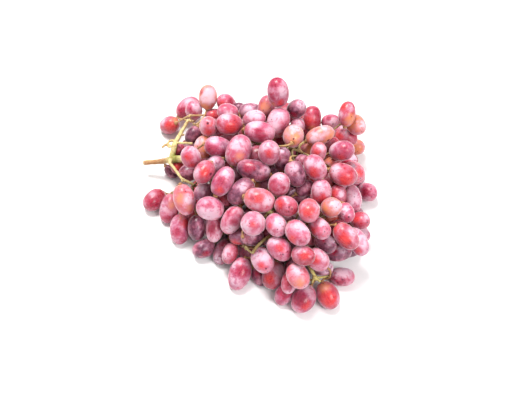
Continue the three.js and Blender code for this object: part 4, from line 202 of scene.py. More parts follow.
        (10.19, -23.73, 24.88, 0.817, 0.385, -0.429, 10.59, 8.5, "D", [(-1.63, -28.78, 30.96, 0.82)], []),
        (-16.72, -37.29, 10.09, -0.496, -0.753, -0.432, 11.5, 8.44, "R", [(-0.93, -28.59, 31.17, 0.82)], []),
    ], [[(-1.45, -28.91, 33.61, 0.8), (-1.19, -28.7, 33.74, 0.75)]], [(-1.4, -25.55, 30.77, 0.82), (-1.2, -28.63, 30.75, 0.82), (-1.2, -28.63, 32.25, 1.02)]),
    (22, [
        (-6.09, 29.97, 34.02, 0.672, 0.613, 0.416, 11.14, 8.55, "D", [(-15.63, 21.28, 29.54, 0.8), (-11.21, 16.27, 43.94, 0.82)], []),
        (14.37, 17.82, 13.64, 0.577, 0.611, -0.542, 11.25, 8.41, "P", [(-6.85, 15.82, 36.98, 0.82), (-11.63, 16.47, 43.89, 0.82)], []),
        (5.93, 37.33, 10.29, 0.797, 0.499, -0.342, 10.35, 8.1, "S", [(-7.19, 18.52, 29.25, 0.72), (-6.85, 15.82, 36.98, 0.53)], []),
        (-1.96, 12.81, 49.73, 0.921, 0.323, 0.219, 10.48, 8.16, "D", [(-13.43, 8.89, 47.13, 0.8), (-11.23, 16.87, 43.27, 0.82)], []),
        (8.05, 1.3, 68.11, -0.014, -0.043, 0.999, 11.33, 8.71, "W", [(7.8, 1.34, 53.24, 0.8), (-5.65, 4.95, 43.72, 0.72), (-9.47, 10.38, 41.62, 0.72), (-11.49, 16.89, 43.62, 0.82)], [("r", 0, -7, 7, 3.17), ("w", -3.5, -1.7, 10.2, 3.17), ("w", 5.1, -3.7, 7.9, 2.38), ("d", 4.4, -7.5, 0, 0.76)]),
    ], [[(-10.29, 16.14, 43.07, 0.8), (-9.85, 17.29, 41.52, 0.75)]], [(-6.85, 15.82, 36.98, 0.82), (-11.35, 16.43, 43.48, 0.82)]),
    (23, [
        (-24.45, 38.55, 59.42, -0.897, -0.238, 0.372, 11.6, 8.93, "R", [(0.3, 29.87, 48.75, 0.82), (0.87, 26.9, 47.66, 0.53)], [("r", 1.5, -7.9, 4.1, 5.01), ("w", -2.6, -0.5, 9.3, 4.18), ("d", -4.6, -1.8, 9, 0.8)]),
        (0.42, 27.96, 61.69, 0.985, -0.136, -0.109, 12.91, 8.81, "M", [(-14.7, 29.87, 62.25, 0.8), (-10, 27.42, 54.76, 0.72), (-2.7, 26.87, 48.75, 0.82), (0.87, 26.9, 47.66, 0.82), (6.94, 37.25, 35.67, 0.81)], [("c", 0.4, -6.8, 5.6, 4.94), ("w", -3.7, 1.1, 8.6, 4.11)]),
        (18.93, 37.43, 36, 0.965, -0.168, 0.204, 8.72, 6.71, "R", [(7.89, 38.88, 33.78, 0.8), (6.58, 36.64, 36.37, 0.81)], [("c", -0.2, -4.3, 5.2, 4.29)]),
        (1.12, 56.45, 7.73, 0.871, 0.387, -0.304, 10.93, 8.3, "P", [(-8.59, 52.43, 15.8, 0.68), (4.09, 36.93, 35.25, 0.72), (3.7, 31.28, 42.74, 0.72), (0.87, 26.9, 47.66, 0.53)], []),
        (15.81, 60.47, 74.2, -0.105, 0.286, 0.952, 13.27, 9.14, "M", [(17.55, 56.62, 60, 0.8), (10.55, 52.62, 52, 0.8), (6.68, 36.6, 35.67, 0.81)], [("c", -2.7, -0.2, 12.3, 5.04), ("c", 8.2, 1.3, 4.9, 2.94), ("c", -5.1, -7.3, 2.1, 2.52), ("w", 3.9, -6.3, 5.8, 3.36), ("r", 1.6, -9.4, -2.2, 2.94), ("a", -4.1, -7.8, -5.8, 2.1), ("d", -7.6, -4.3, 3.6, 0.91), ("d", 9.2, -0.6, -0.7, 0.91)]),
        (-7.48, 50.1, 34.64, 0.805, 0.592, -0.028, 10.67, 8.47, "D", [(-17.7, 41.87, 35.25, 0.8), (-2.7, 26.87, 48.75, 0.53)], []),
    ], [[(0.47, 26.88, 47.61, 0.8), (0.35, 26.87, 47.35, 0.75)]], [(-2.7, 26.87, 48.75, 0.82), (0.87, 26.9, 47.66, 0.82), (6.76, 36.95, 36.02, 0.81)]),
    (24, [
        (11.13, 80.71, 10.74, 0.786, 0.617, -0.021, 12.29, 9.16, "K", [(-1.2, 61.37, 19.6, 0.72), (-1.14, 49.33, 26.2, 0.82), (0.52, 43.92, 32.2, 0.82), (-1.2, 37.37, 42.75, 1.02), (-1.19, 35.88, 42.78, 0.93)], []),
        (10.84, 56.69, 26.2, 0.877, 0.478, 0.038, 11.61, 8.47, "D", [(-1.14, 49.33, 26.2, 0.53)], []),
        (-26.89, 67.92, 41.4, -0.968, 0.005, 0.252, 9.65, 7.42, "K", [(-16.45, 65.82, 38.73, 0.78), (-16.45, 56.62, 39.88, 0.78), (-14.7, 52.37, 44.25, 0.8), (-5.7, 38.87, 42.75, 0.82), (-1.2, 37.37, 42.75, 0.66)], [("w", 0.3, -6.1, 4.3, 2.64)]),
        (-4.14, 49.15, 52.32, 0.773, -0.239, 0.588, 11, 8.46, "W", [(-14.7, 52.37, 44.25, 0.52)], [("w", 0, -0.3, 9.2, 5.96)]),
    ], [[(-1.14, 36.01, 42.55, 0.8), (-1.2, 35.68, 43.37, 0.75)]], [(-1.14, 49.33, 26.2, 0.82), (-1.2, 37.37, 42.75, 1.02), (-14.7, 52.37, 44.25, 0.8)]),
    (25, [
        (6.38, 67.3, 48.56, 0.259, 0.714, 0.651, 10.38, 7.35, "R", [(-1.63, 56.57, 40.96, 0.72)], [("a", -1.1, -4.9, 5.4, 4.36)]),
        (-16.11, 78.22, 31.21, -0.545, 0.149, 0.825, 8.74, 6.72, "P", [(-10.2, 76.37, 23.25, 0.8), (-1.09, 56.52, 41.42, 0.72)], [("p", -1.3, -4.2, 6, 4.49)]),
        (-7.61, 70.25, 40.06, -1, -0.005, 0.006, 9.81, 7.36, "G", [(3.39, 70.32, 39.48, 0.8), (-1.41, 56.4, 41.16, 0.72)], [("w", 0, -3.5, 6.5, 3.53)]),
    ], [[(-1.36, 57.2, 41.09, 0.8), (-0.57, 55.61, 41.88, 0.75)]], [(-1.25, 56.87, 41.1, 0.72)]),
    (26, [
        (23.86, 67.84, 39.58, 0.81, 0.587, 0.015, 11.99, 8.9, "R", [(0.3, 43.37, 41.25, 0.6)], []),
        (-8.49, 77.6, 13.63, -0.63, -0.71, -0.316, 10.67, 8.12, "W", [(0.3, 86.87, 18.75, 0.8), (0.48, 67.43, 24.57, 0.72), (3.3, 53.87, 38.25, 0.53)], []),
        (8.54, 73.73, 31.27, 0.739, 0.657, 0.148, 11.56, 8.67, "R", [(3.3, 53.87, 38.25, 0.82), (0.3, 43.37, 41.25, 0.92), (0.3, 41.87, 41.25, 0.92)], []),
    ], [[(0.4, 41.7, 40.9, 0.8), (-0.11, 42.71, 42.71, 0.75)]], [(3.3, 53.87, 38.25, 0.82), (0.3, 43.37, 41.25, 0.92)]),
    (27, [
        (20.04, -91.27, 6.69, -0.5, -0.756, -0.422, 10.25, 7.09, "M", [(27.3, -84.11, 12.74, 0.8), (44.31, -83.98, 15.74, 0.72)], [("c", 0.1, -2.4, 6.7, 5.56)]),
        (34.9, -96.88, 8.18, -0.495, -0.856, -0.147, 11.93, 9.18, "M", [(44.05, -83.72, 16.01, 0.72)], [("w", 3, 5, 8.4, 2.77), ("c", -4.2, -4.1, 7.6, 5.53), ("r", 1.1, -8.2, 5.4, 4.35)]),
    ], [[(43.65, -84.22, 15.39, 0.8), (43.84, -84.12, 15.76, 0.75)]], []),
    (28, [
        (44.76, -77.19, 34.99, -0.645, 0.139, 0.751, 10.47, 8.06, "K", [(55.83, -81.18, 24.75, 0.8), (55.23, -82.89, 15.67, 0.72), (50.95, -81.46, 12.09, 0.72)], [("r", -1.9, -4.7, 7.4, 3.09), ("w", 4.4, -1.7, 6.7, 3.09)]),
        (66.21, -76.56, 6.79, 0.992, -0.102, 0.075, 10.38, 7.58, "K", [(51.02, -81.86, 12.7, 0.72)], [("w", 1.9, 2.1, 7.2, 5.66), ("w", -5.2, 0.8, 6.3, 3.24), ("c", -4.6, -5.6, 3.3, 1.62), ("c", 0.1, -6.5, 4, 1.29), ("c", -2.7, -7.2, -0.4, 1.62), ("c", -6.9, -3, 4.3, 1.29), ("d", -5.8, -4.7, 3.6, 0.87), ("d", -3.7, -6.6, 1.9, 0.87), ("d", -1, -5.4, 5.3, 0.78), ("d", 1.3, -5.6, 5.2, 0.78), ("d", 4.5, -5.2, 4.9, 0.68), ("d", 1.6, -7.1, 2.7, 0.87), ("d", -7.6, -3.1, 3.6, 0.78)]),
        (53.95, -93.81, 8.28, 0.421, -0.821, -0.385, 11.55, 8.62, "R", [(51.48, -81.12, 12.44, 0.72)], [("a", -3.6, 2.5, 8.7, 3.97), ("r", 0, -6.5, 6, 6.36)]),
    ], [[(51.28, -81.1, 12.35, 0.8), (51.24, -81.23, 13.59, 0.75)]], [(51.32, -81.59, 12.4, 0.72)]),
    (29, [
        (77.73, -57.28, 29.08, 0.495, -0.772, -0.398, 12.15, 7.5, "W", [(71.03, -46.59, 33.44, 0.8), (61.94, -53.42, 26.72, 0.72), (38.9, -73.94, 21.67, 0.82)], [("w", 1.7, -2.8, 6.8, 4.79), ("r", -0.5, -8.9, 1.1, 2.79), ("d", -2.2, -4.1, 5.9, 0.77)]),
        (29.38, -91.22, 34.44, 0.398, -0.911, 0.11, 10.84, 8.34, "S", [(33.3, -75.13, 23.24, 0.53)], [("w", -1.8, 2.4, 7.9, 3.81), ("a", 0.9, -8.7, 5, 3.81)]),
        (23.17, -89.51, 20.67, -0.173, -0.861, -0.478, 8.67, 6.07, "R", [(33.3, -75.13, 23.24, 0.82), (39.74, -73.49, 21.63, 0.82)], []),
        (50.15, -76.19, 20.14, 0.996, -0.045, 0.078, 8.19, 5.91, "P", [(38.85, -73.4, 21.93, 0.82)], []),
    ], [[(39.38, -73.42, 21.42, 0.8), (39.24, -74.09, 22.25, 0.75)]], [(33.3, -75.13, 23.24, 0.82), (39.27, -73.61, 21.75, 0.82)]),
    (30, [
        (33.13, -81.04, 47.68, 0.663, -0.533, 0.526, 10.01, 7.7, "R", [(30.38, -64.24, 33.44, 0.82)], [("r", 0.2, -4.8, 7.3, 3.39), ("w", -4.4, 0, 6.4, 3.02)]),
        (11.19, -78.46, 13.07, -0.259, -0.841, -0.475, 11.46, 8.7, "R", [(30.65, -64.51, 34.09, 0.82)], [("w", 5.9, 0.4, 7.2, 4.37), ("r", -3.5, -5.9, 5.8, 3.98)]),
        (51.11, -63.88, 37.37, 0.816, -0.528, -0.237, 9.54, 6.94, "P", [(39.3, -57.13, 41.25, 0.8), (31.8, -63.13, 35.25, 0.82), (30.01, -64.92, 33.46, 0.82)], [("c", -2.2, -1.3, 6.7, 1.95), ("w", 4.1, -0.7, 5.8, 3.12), ("d", -0.7, -3.8, 5.7, 0.75)]),
        (71.46, -49.14, 8.91, 0.907, 0.097, -0.41, 12.71, 9.23, "P", [(58.4, -50.33, 14.96, 0.78), (43.45, -62.98, 27.61, 0.78), (41.15, -62.98, 27.61, 0.78), (35.4, -62.98, 33.36, 0.78), (32.97, -61.05, 34.88, 0.54)], []),
        (41.94, -52.2, 30.45, 0.735, 0.543, -0.406, 11.36, 8.34, "D", [(32.97, -61.05, 34.88, 0.83), (31.8, -63.13, 35.25, 0.53)], []),
    ], [[(30.2, -64.83, 34.08, 0.8), (30.82, -63.65, 32.08, 0.75)]], [(31.8, -63.13, 35.25, 0.82), (30.3, -64.63, 33.75, 0.82), (32.97, -61.05, 34.88, 0.83)]),
    (31, [
        (63, -62.72, 21.46, 0.979, 0.093, 0.183, 10.67, 7.11, "P", [(48.3, -63.13, 21.75, 0.8), (42.29, -67.62, 23.27, 0.82), (40.79, -72.12, 24.77, 0.92), (40.93, -73.5, 24.75, 0.92)], [("c", -4.2, -2.2, 5.8, 2.8), ("w", 2, -1.9, 6.9, 2.8)]),
        (61.06, -51.44, 36.28, 0.402, 0.401, 0.823, 9.16, 7.05, "R", [(40.79, -72.12, 24.77, 0.6)], [("c", -0.6, -3.7, 6.4, 4.75)]),
        (48.39, -65.69, 9.27, 0.173, -0.176, -0.969, 10.43, 8.12, "R", [(42.29, -67.62, 23.27, 0.53)], []),
    ], [[(41.08, -73.35, 24.75, 0.8), (40.81, -73.62, 24.75, 0.75)]], [(42.29, -67.62, 23.27, 0.82), (40.79, -72.12, 24.77, 0.92)]),
    (32, [
        (29.04, -67.58, 57.85, 0.547, -0.836, 0.042, 10.97, 8.44, "K", [(25.87, -51.73, 45.75, 0.72), (27.3, -51.13, 38.25, 0.82), (27.3, -51.13, 36.25, 0.82)], [("w", 3.4, 0.3, 7.8, 4.51), ("r", -4.8, -6.8, 2.4, 3.38), ("c", 2.1, -9.7, 2.9, 1.35)]),
        (37.83, -49.78, 61.83, -0.064, -0.874, 0.482, 10.87, 8.36, "S", [(37.75, -37.65, 54.87, 0.8), (29.41, -45.11, 50.13, 0.72), (27.3, -51.13, 38.25, 0.53)], [("r", -0.8, -6.1, 8.2, 4.57), ("w", -5, -1, 7.3, 1.52)]),
        (46.22, -58.81, 50.87, 0.565, -0.814, 0.135, 9.68, 7.45, "K", [(26.93, -51.1, 36.42, 0.82)], [("w", 2.8, 1.2, 6.9, 3.45), ("r", -5.5, -3.8, 3.3, 2.69), ("d", 2.9, -6.4, 5.4, 0.83), ("d", 3.8, -3, 6.6, 0.74), ("d", 4.9, -4.6, 5.7, 0.74), ("d", 1.8, -7.8, 4.1, 0.64)]),
        (37.4, -39.74, 44.08, 0.732, 0.482, 0.483, 11.25, 8.34, "D", [(27.1, -51.56, 36.58, 0.82)], []),
    ], [[(27.36, -51.11, 37.14, 0.8), (27.25, -51.15, 36.44, 0.75)]], [(27.3, -51.13, 38.25, 0.82), (27.3, -51.13, 36.75, 0.82)]),
    (33, [
        (27.16, -53.11, 9.78, 0.317, -0.266, -0.91, 11.08, 8.66, "P", [(25.95, -50.64, 30.45, 0.72)], []),
        (45.89, -30.41, 29.34, 0.82, 0.394, -0.416, 10.93, 8.14, "D", [(28.01, -43.52, 33.11, 0.72), (25.75, -51.08, 29.76, 0.72)], []),
        (47.41, -48.6, 9.88, 0.562, -0.141, -0.815, 11.71, 9.05, "M", [(25.49, -50.72, 30.25, 0.72)], []),
        (43.78, -27.36, 11.43, 0.642, 0.734, -0.224, 11.04, 8.85, "K", [(25.65, -50.96, 30.27, 0.72)], []),
    ], [[(25.87, -50.88, 30.07, 0.8), (26.31, -50.64, 30.43, 0.75)]], [(25.88, -50.64, 29.96, 0.72)]),
    (34, [
        (26.6, -16.94, 13.31, 0.775, 0.173, -0.607, 10.77, 8.26, "R", [(18.84, -16.28, 21.77, 0.8), (21.18, -21.03, 26.73, 0.72), (18.3, -33.13, 30.75, 0.82), (19.16, -38.91, 32.64, 0.82)], []),
        (43.45, -14.28, 22.95, 0.885, 0.444, -0.142, 11.38, 8.37, "D", [(18.3, -33.13, 30.75, 0.53)], []),
        (12.99, -56.76, 52.22, 0.313, -0.895, 0.318, 10.44, 8.03, "W", [(16.92, -39.11, 38.66, 0.72), (19.25, -38.39, 32.02, 0.82)], [("w", 1.9, -1.7, 8.2, 4.59), ("r", -4.9, -4.4, 5.3, 1.99), ("c", -1.5, -8.4, 4.6, 1.53), ("d", 2.6, -3.4, 7.9, 0.73), ("d", 0.7, -7.9, 6, 0.64), ("d", 4.9, -5.5, 6.3, 0.64)]),
        (24.88, -33.69, 13.45, 0.84, -0.082, -0.536, 10.47, 8.41, "K", [(19.14, -38.62, 32.95, 0.82)], []),
    ], [[(18.55, -38.94, 32, 0.8), (17.98, -39.28, 32.59, 0.75)]], [(18.3, -33.13, 30.75, 0.82), (19.09, -38.44, 32.49, 0.82)]),
    (35, [
        (48.96, -26.42, 53.61, -0.12, 0.368, 0.922, 10.49, 8.07, "K", [(45.3, -42.13, 36.75, 0.6)], [("r", -0.1, -7.7, 2.3, 3.16), ("w", -3.3, -1.8, 8.7, 3.16)]),
        (55.59, -42, 54.58, 0.29, -0.541, 0.789, 10.06, 7.74, "A", [(45.3, -42.13, 36.75, 0.92), (42.37, -43.79, 35.44, 0.92)], [("w", 2.8, -4.6, 8.5, 3.5), ("a", -5.3, -4, 4.9, 3.11)]),
        (64.01, -18.81, 37.71, 0, 0.814, 0.58, 9.3, 6.87, "R", [(45.3, -42.13, 36.75, 0.6)], [("r", -3.9, -1.6, 5.6, 2.85), ("w", 2.4, -2.7, 5.9, 3.26)]),
    ], [[(42.43, -43.87, 35.54, 0.8), (42.27, -43.71, 35.31, 0.75)]], [(45.3, -42.13, 36.75, 0.92)]),
    (36, [
        (36.56, -19.83, 48.76, 0.864, 0.372, 0.339, 8.31, 6, "P", [(11.91, -30.29, 33.48, 0.82)], []),
        (15.44, -25.5, 61.91, 0.109, -0.096, 0.989, 11.12, 8.56, "K", [(12.99, -26.79, 45.19, 0.83), (10.8, -30.13, 33.75, 0.82), (12.8, -30.13, 33.75, 0.82)], [("c", 3.2, -6.8, 6.1, 1.4), ("c", -1, -8.1, 3.9, 1.01), ("w", 0.5, -1, 11.1, 2.72), ("c", -4.1, -3.1, 8.7, 1.87)]),
        (32.36, -19.11, 35.1, 0.876, -0.278, 0.393, 9.45, 7.27, "P", [(11.94, -30.48, 33.79, 0.82)], []),
        (20.75, -44.54, 59.67, 0.595, -0.624, 0.506, 10.45, 8.04, "R", [(13.6, -37.54, 53.8, 0.78), (13.6, -30.64, 48.05, 0.78), (12.45, -29.49, 46.9, 0.78), (12.45, -28.34, 45.75, 0.78), (12.99, -26.79, 45.19, 0.54)], [("c", 3.2, -5.1, 7.9, 1), ("r", -5, -1.2, 6.2, 2.68), ("w", -1.2, 1.2, 8, 2.68), ("d", 1.6, -5.8, 7.5, 0.74), ("d", 3.9, -6.9, 6.5, 0.74), ("d", 1.3, -8.2, 5, 0.64)]),
    ], [[(11.07, -29.86, 33.61, 0.8), (10.32, -30.6, 34.01, 0.75)]], [(12.3, -30.13, 33.75, 0.82), (12.99, -26.79, 45.19, 0.83)]),
    (37, [
        (44, -11.97, 66.28, -0.488, 0.406, 0.773, 10.96, 8.43, "K", [(49.8, -16.63, 56.25, 0.8), (45.3, 5.87, 48.75, 0.92), (42.3, 10.37, 48.75, 0.92)], [("r", -1.5, -7.8, 2.8, 3.93), ("w", -5.5, -2, 8, 3.15), ("w", 3, -2, 8, 2.36)]),
        (67.39, -7.87, 51.34, 0.933, -0.339, -0.118, 11.88, 9.06, "R", [(46.85, 4.36, 48.72, 0.82), (45.3, 5.87, 48.75, 0.6)], [("r", 2.3, -8.4, 3.9, 5.66), ("w", -7.8, 0.2, 7, 4.05), ("c", 3, -5.6, 6.9, 1.29)]),
        (36.47, 1.91, 51.22, -0.478, 0.374, 0.795, 9.45, 7.27, "P", [(42.38, -3.14, 42.7, 0.8), (46.85, 4.36, 48.72, 0.53)], []),
    ], [[(42.3, 10.39, 49.15, 0.8), (42.29, 10.29, 47.92, 0.75)]], [(46.85, 4.36, 48.72, 0.82), (45.3, 5.87, 48.75, 0.92)]),
    (38, [
        (28.61, -14.29, 60.93, 0.342, -0.762, -0.55, 10.64, 8.08, "P", [(24.3, -3.13, 68.25, 0.8), (29.53, 8.8, 54.75, 0.72), (36.3, 14.87, 44.25, 0.53)], [("w", -1.5, 0, 8.7, 3.16), ("p", 3.2, -8, 2.5, 3.95), ("d", -3.8, -2.6, 6.9, 0.76)]),
        (50.41, 28.2, 56.71, 0.924, 0.236, 0.302, 12.37, 7.64, "A", [(36.97, 25.12, 52.77, 0.78), (27.77, 21.67, 49.32, 0.78), (25.47, 19.37, 47.02, 0.78), (26.62, 12.47, 45.87, 0.78), (30.26, 8.71, 43.51, 0.81)], [("w", -5.5, -5, 4.3, 4.16), ("w", 2.8, 2.6, 7.9, 2.91), ("a", 7.7, -4.6, 2.5, 4.16), ("c", -3.8, -0.6, 6.7, 1.25), ("d", 6.6, -5.4, 0.3, 1.5)]),
        (19.17, 8.14, 51.16, 0.087, 0.781, 0.618, 10.05, 7.31, "P", [(18.3, -1.63, 42.75, 0.8), (30.31, 9.38, 43.75, 0.81)], [("w", 1, 2.6, 8.4, 2.86), ("p", -2.2, -7.6, 1.8, 3.27)]),
        (59.1, 49.84, 8.21, 0.875, 0.362, -0.323, 11.25, 8.87, "K", [(42.97, 38.78, 21.5, 0.72), (41.65, 28.37, 27.44, 0.72), (36.3, 20.87, 33.75, 0.82), (36.47, 16.57, 43.07, 0.82), (36.3, 14.87, 44.25, 0.82), (29.57, 8.7, 43.69, 0.81)], []),
        (43.75, 25.49, 40.91, 0.686, 0.419, 0.595, 9.28, 7.14, "A", [(36.3, 20.87, 33.75, 0.53)], [("a", -0.5, -4.3, 5.7, 4.22)]),
    ], [[(36.19, 16.17, 43.92, 0.8), (36.4, 16.53, 44.65, 0.75)]], [(36.3, 20.87, 33.75, 0.82), (36.3, 14.87, 44.25, 0.82), (29.94, 9.04, 43.72, 0.81)]),
    (39, [
        (60.53, 32.83, 23.12, 0.939, 0.336, 0.076, 12.76, 9.28, "D", [(45.3, 26.87, 21.75, 0.8), (43.76, 14.55, 35.62, 0.72)], []),
        (48.62, 6.1, 11.02, 0.822, 0.517, -0.237, 10.55, 8.29, "K", [(37.8, -0.13, 14.25, 0.8), (42.11, 11.62, 26.25, 0.72), (43.88, 15.05, 35.71, 0.72)], []),
        (62.01, 21.9, 7.96, 0.903, 0.383, -0.195, 11.55, 8.78, "R", [(44.35, 14.99, 20.25, 0.72), (43.78, 14.88, 35.75, 0.72)], []),
    ], [[(44.08, 14.87, 34.97, 0.8), (43.81, 14.87, 35.24, 0.75)]], [(43.8, 14.88, 35.25, 0.72)]),
    (40, [
        (16, 43.02, 55.84, 0.309, 0.712, 0.631, 12.98, 9.63, "K", [(15.19, 28.14, 31.79, 0.72)], [("w", -5.2, -4.1, 7, 5.9), ("w", 1.4, -1.5, 10.2, 3.37), ("a", 2.5, -8.9, -7.4, 2.53)]),
        (33.33, 32.98, 30.16, 0.725, 0.423, 0.544, 11.08, 8.22, "D", [(22.8, 26.87, 23.25, 0.8), (14.8, 28.39, 32.63, 0.72)], []),
    ], [[(13.44, 28.55, 42.75, 0.8), (14.89, 27.82, 42.75, 0.75)]], []),
    (41, [
        (63.44, 63.48, 33.27, 0.703, -0.467, 0.536, 9.14, 7.03, "K", [(54.3, 68.87, 26.25, 0.8), (49.46, 56.87, 27.99, 0.72), (45.3, 50.87, 30.75, 0.82), (35.42, 38.87, 39.96, 0.82), (31.8, 26.87, 42.69, 0.6)], [("w", 1, -6.4, 4.8, 4.44), ("c", -2.4, -1.7, 6.6, 1.78)]),
        (46.48, 63.55, 37.83, 0.087, 0.744, 0.662, 11.37, 8.09, "R", [(45.3, 50.87, 30.75, 0.53)], [("c", 2.9, -0.1, 8.6, 3.53), ("r", -4, -6.2, 3.8, 4.41), ("a", -0.4, -9.8, -1.2, 2.2)]),
        (32.74, 46.9, 46.07, 0.143, 0.462, 0.875, 8.3, 6.38, "K", [(31.8, 27.53, 42.61, 0.89), (31.8, 26.87, 42.69, 0.92), (31.76, 19.28, 44, 0.92), (31.82, 19.41, 42.25, 0.82)], [("w", 1, -2.5, 6.5, 3.43)]),
        (42.91, 33.64, 11.88, 0.727, 0.547, -0.415, 11.44, 8.81, "K", [(31.8, 23.1, 23.25, 0.72), (31.8, 19.28, 43.24, 0.82)], []),
        (28.16, 23.69, 61.71, 0.136, 0.944, -0.302, 11.14, 8.57, "A", [(22.35, 11.52, 64.05, 0.78), (15.45, 13.82, 60.6, 0.78), (15.45, 18.42, 53.7, 0.78), (22.35, 21.87, 49.1, 0.78), (25.8, 25.32, 49.1, 0.78), (31.8, 27.53, 42.61, 0.58)], [("w", 1.7, 1.5, 8.3, 4.51), ("a", -0.1, -8.5, 6.4, 3.69), ("d", -0.5, -8.5, 6.5, 0.89)]),
        (33.7, 15.98, 13.19, 0.914, 0.277, -0.297, 11.39, 8.71, "P", [(21.3, 11.87, 18.75, 0.8), (30.48, 18.81, 29.25, 0.72), (31.85, 19.39, 43.25, 0.82)], []),
    ], [[(31.62, 19.17, 43.95, 0.8), (31.97, 19.39, 44.43, 0.75)]], [(31.8, 26.87, 42.69, 0.92), (31.8, 19.37, 42.75, 0.82), (45.3, 50.87, 30.75, 0.82), (31.8, 27.53, 42.61, 0.89)]),
    (42, [
        (23.78, 66.41, 10.63, 0.866, 0.462, 0.192, 11.65, 8.68, "R", [(12.3, 59.87, 8.25, 0.8), (15.3, 34.37, 27.75, 0.82), (18.3, 26.87, 35.25, 0.6)], []),
        (27.05, 47.54, 11.53, 0.911, 0.351, -0.216, 11.16, 8.7, "P", [(15.3, 34.37, 27.75, 0.53)], []),
        (32.55, 50.65, 28.34, 0.866, 0.499, -0.023, 11.55, 9.17, "D", [(19.8, 41.87, 27.72, 0.8), (19.14, 32.88, 29.03, 0.72), (18.3, 26.87, 35.25, 0.92), (18.43, 26.87, 41.12, 0.92)], []),
    ], [[(18.58, 26.87, 40.97, 0.8), (18.31, 26.87, 41.24, 0.75)]], [(18.3, 26.87, 35.25, 0.92), (15.3, 34.37, 27.75, 0.82)]),
    (43, [
        (32, 57.38, 57.45, 0.395, -0.287, 0.873, 10.19, 7.84, "P", [(27.3, 59.87, 47.25, 0.8), (22.8, 47.87, 44.25, 0.82), (22.8, 41.87, 44.25, 0.92), (22.8, 26.87, 44.25, 0.92)], [("c", -2.9, -7.3, 0.2, 2.74), ("w", 4, -2.9, 8.9, 3.42), ("p", -1.1, -5.7, 7.1, 3.42)]),
        (45.27, 80.85, 8.38, 0.959, 0.196, -0.204, 12.36, 9.28, "R", [(29.05, 73.2, 18.68, 0.72), (23.43, 58.37, 30.79, 0.72), (22.8, 41.87, 44.25, 0.6)], []),
        (45.67, 74.29, 25.48, 0.845, 0.528, -0.081, 10.18, 8.19, "P", [(22.8, 47.87, 44.25, 0.53)], []),
    ], [[(22.86, 27.21, 44.05, 0.8), (22.78, 26.6, 44.4, 0.75)]], [(22.8, 41.87, 44.25, 0.92), (22.8, 47.87, 44.25, 0.82)]),
    (44, [
        (82.14, -34.08, 24.14, 0.523, -0.602, 0.604, 9.52, 7.32, "R", [(75.3, -27.13, 17.25, 0.8), (50.95, -51.48, 21.82, 0.82)], [("r", -4.1, -2.4, 5.8, 3.29), ("w", 3.7, -1.8, 7.8, 2.87)]),
        (28.48, -73.41, 11.85, -0.341, -0.666, -0.664, 11.49, 8.43, "K", [(36.41, -66.04, 26.18, 0.82), (45.3, -57.13, 22.39, 0.82), (51.65, -50.78, 21.71, 0.82)], []),
        (84.21, -37.75, 10.56, 0.705, -0.707, -0.054, 8.41, 6.47, "W", [(75.3, -30.13, 11.25, 0.8), (50.94, -51.44, 21.91, 0.82)], [("w", -0.1, -2.6, 6, 3.34)]),
    ], [[(36.59, -65.95, 26.05, 0.8), (36.32, -66.02, 26.27, 0.75)]], [(51.3, -51.13, 21.75, 0.82)]),
    (45, [
        (62.93, -29.9, 8.87, 0.766, 0.187, -0.616, 11.52, 8.69, "M", [(42.3, -40.63, 24.75, 0.82), (27.98, -47.48, 33.82, 0.82)], []),
        (61.17, -12, 8.89, 0.758, 0.417, -0.502, 11.56, 9.17, "W", [(51.2, -30.13, 18.81, 0.72), (48, -34.63, 20.07, 0.72), (42.3, -40.63, 24.75, 0.53)], []),
        (78.99, -18.64, 8.83, 0.678, 0.354, -0.644, 10.97, 8.82, "P", [(51.3, -38.56, 26.83, 0.72), (36.3, -43.63, 30.75, 0.82), (27.94, -47.49, 33.73, 0.82)], []),
        (61.62, -38.8, 31.35, 0.979, -0.203, -0.007, 8.97, 6.72, "A", [(36.3, -43.63, 30.75, 0.53)], [("r", 0.1, -4.7, 4.9, 3.23)]),
        (66.72, -63.07, 46.14, 0.664, -0.672, -0.328, 11.89, 8.24, "R", [(46.8, -51.17, 42.57, 0.72), (35.91, -49.98, 40.76, 0.72), (28.02, -47.17, 33.24, 0.82)], [("r", -1.9, -5.9, 5.5, 4.25), ("w", 3.6, 0, 7.4, 3.48), ("r", -8.9, 4, 5.4, 2.16)]),
    ], [[(28.79, -47.97, 32.04, 0.8), (29.22, -48.43, 32.58, 0.75)]], [(42.3, -40.63, 24.75, 0.82), (28.37, -47.29, 33.57, 0.82), (36.3, -43.63, 30.75, 0.82)]),
    (46, [
        (76.73, -17.6, 32.11, 0.172, -0.818, -0.548, 11.56, 7.14, "W", [(73.8, -6.13, 39.75, 0.8), (64.8, 2.22, 43.75, 0.72), (45.03, 12.12, 45.96, 0.92)], [("w", -1.3, -3.9, 5.9, 4.94), ("d", -6.7, -2.3, 0.8, 0.79)]),
        (60.65, -2.42, 34.91, 0.984, 0.053, -0.173, 10.8, 8.51, "D", [(49.8, -1.14, 39.43, 0.78), (46.83, 1.41, 43.76, 0.72), (45.3, 7.37, 45.75, 0.82), (45.3, 8.87, 45.75, 0.92), (45.51, 12.4, 45.94, 0.92)], []),
        (48.02, 9.01, 59.18, 0.08, 0.189, 0.979, 8.4, 6.46, "S", [(46.8, 7.37, 47.25, 0.8), (45.3, 8.87, 45.75, 0.6)], [("r", -1.8, -4.2, 5.3, 2.44), ("w", 1.4, -1.2, 7.9, 2.03), ("w", -3.1, -5.8, -0.5, 2.03)]),
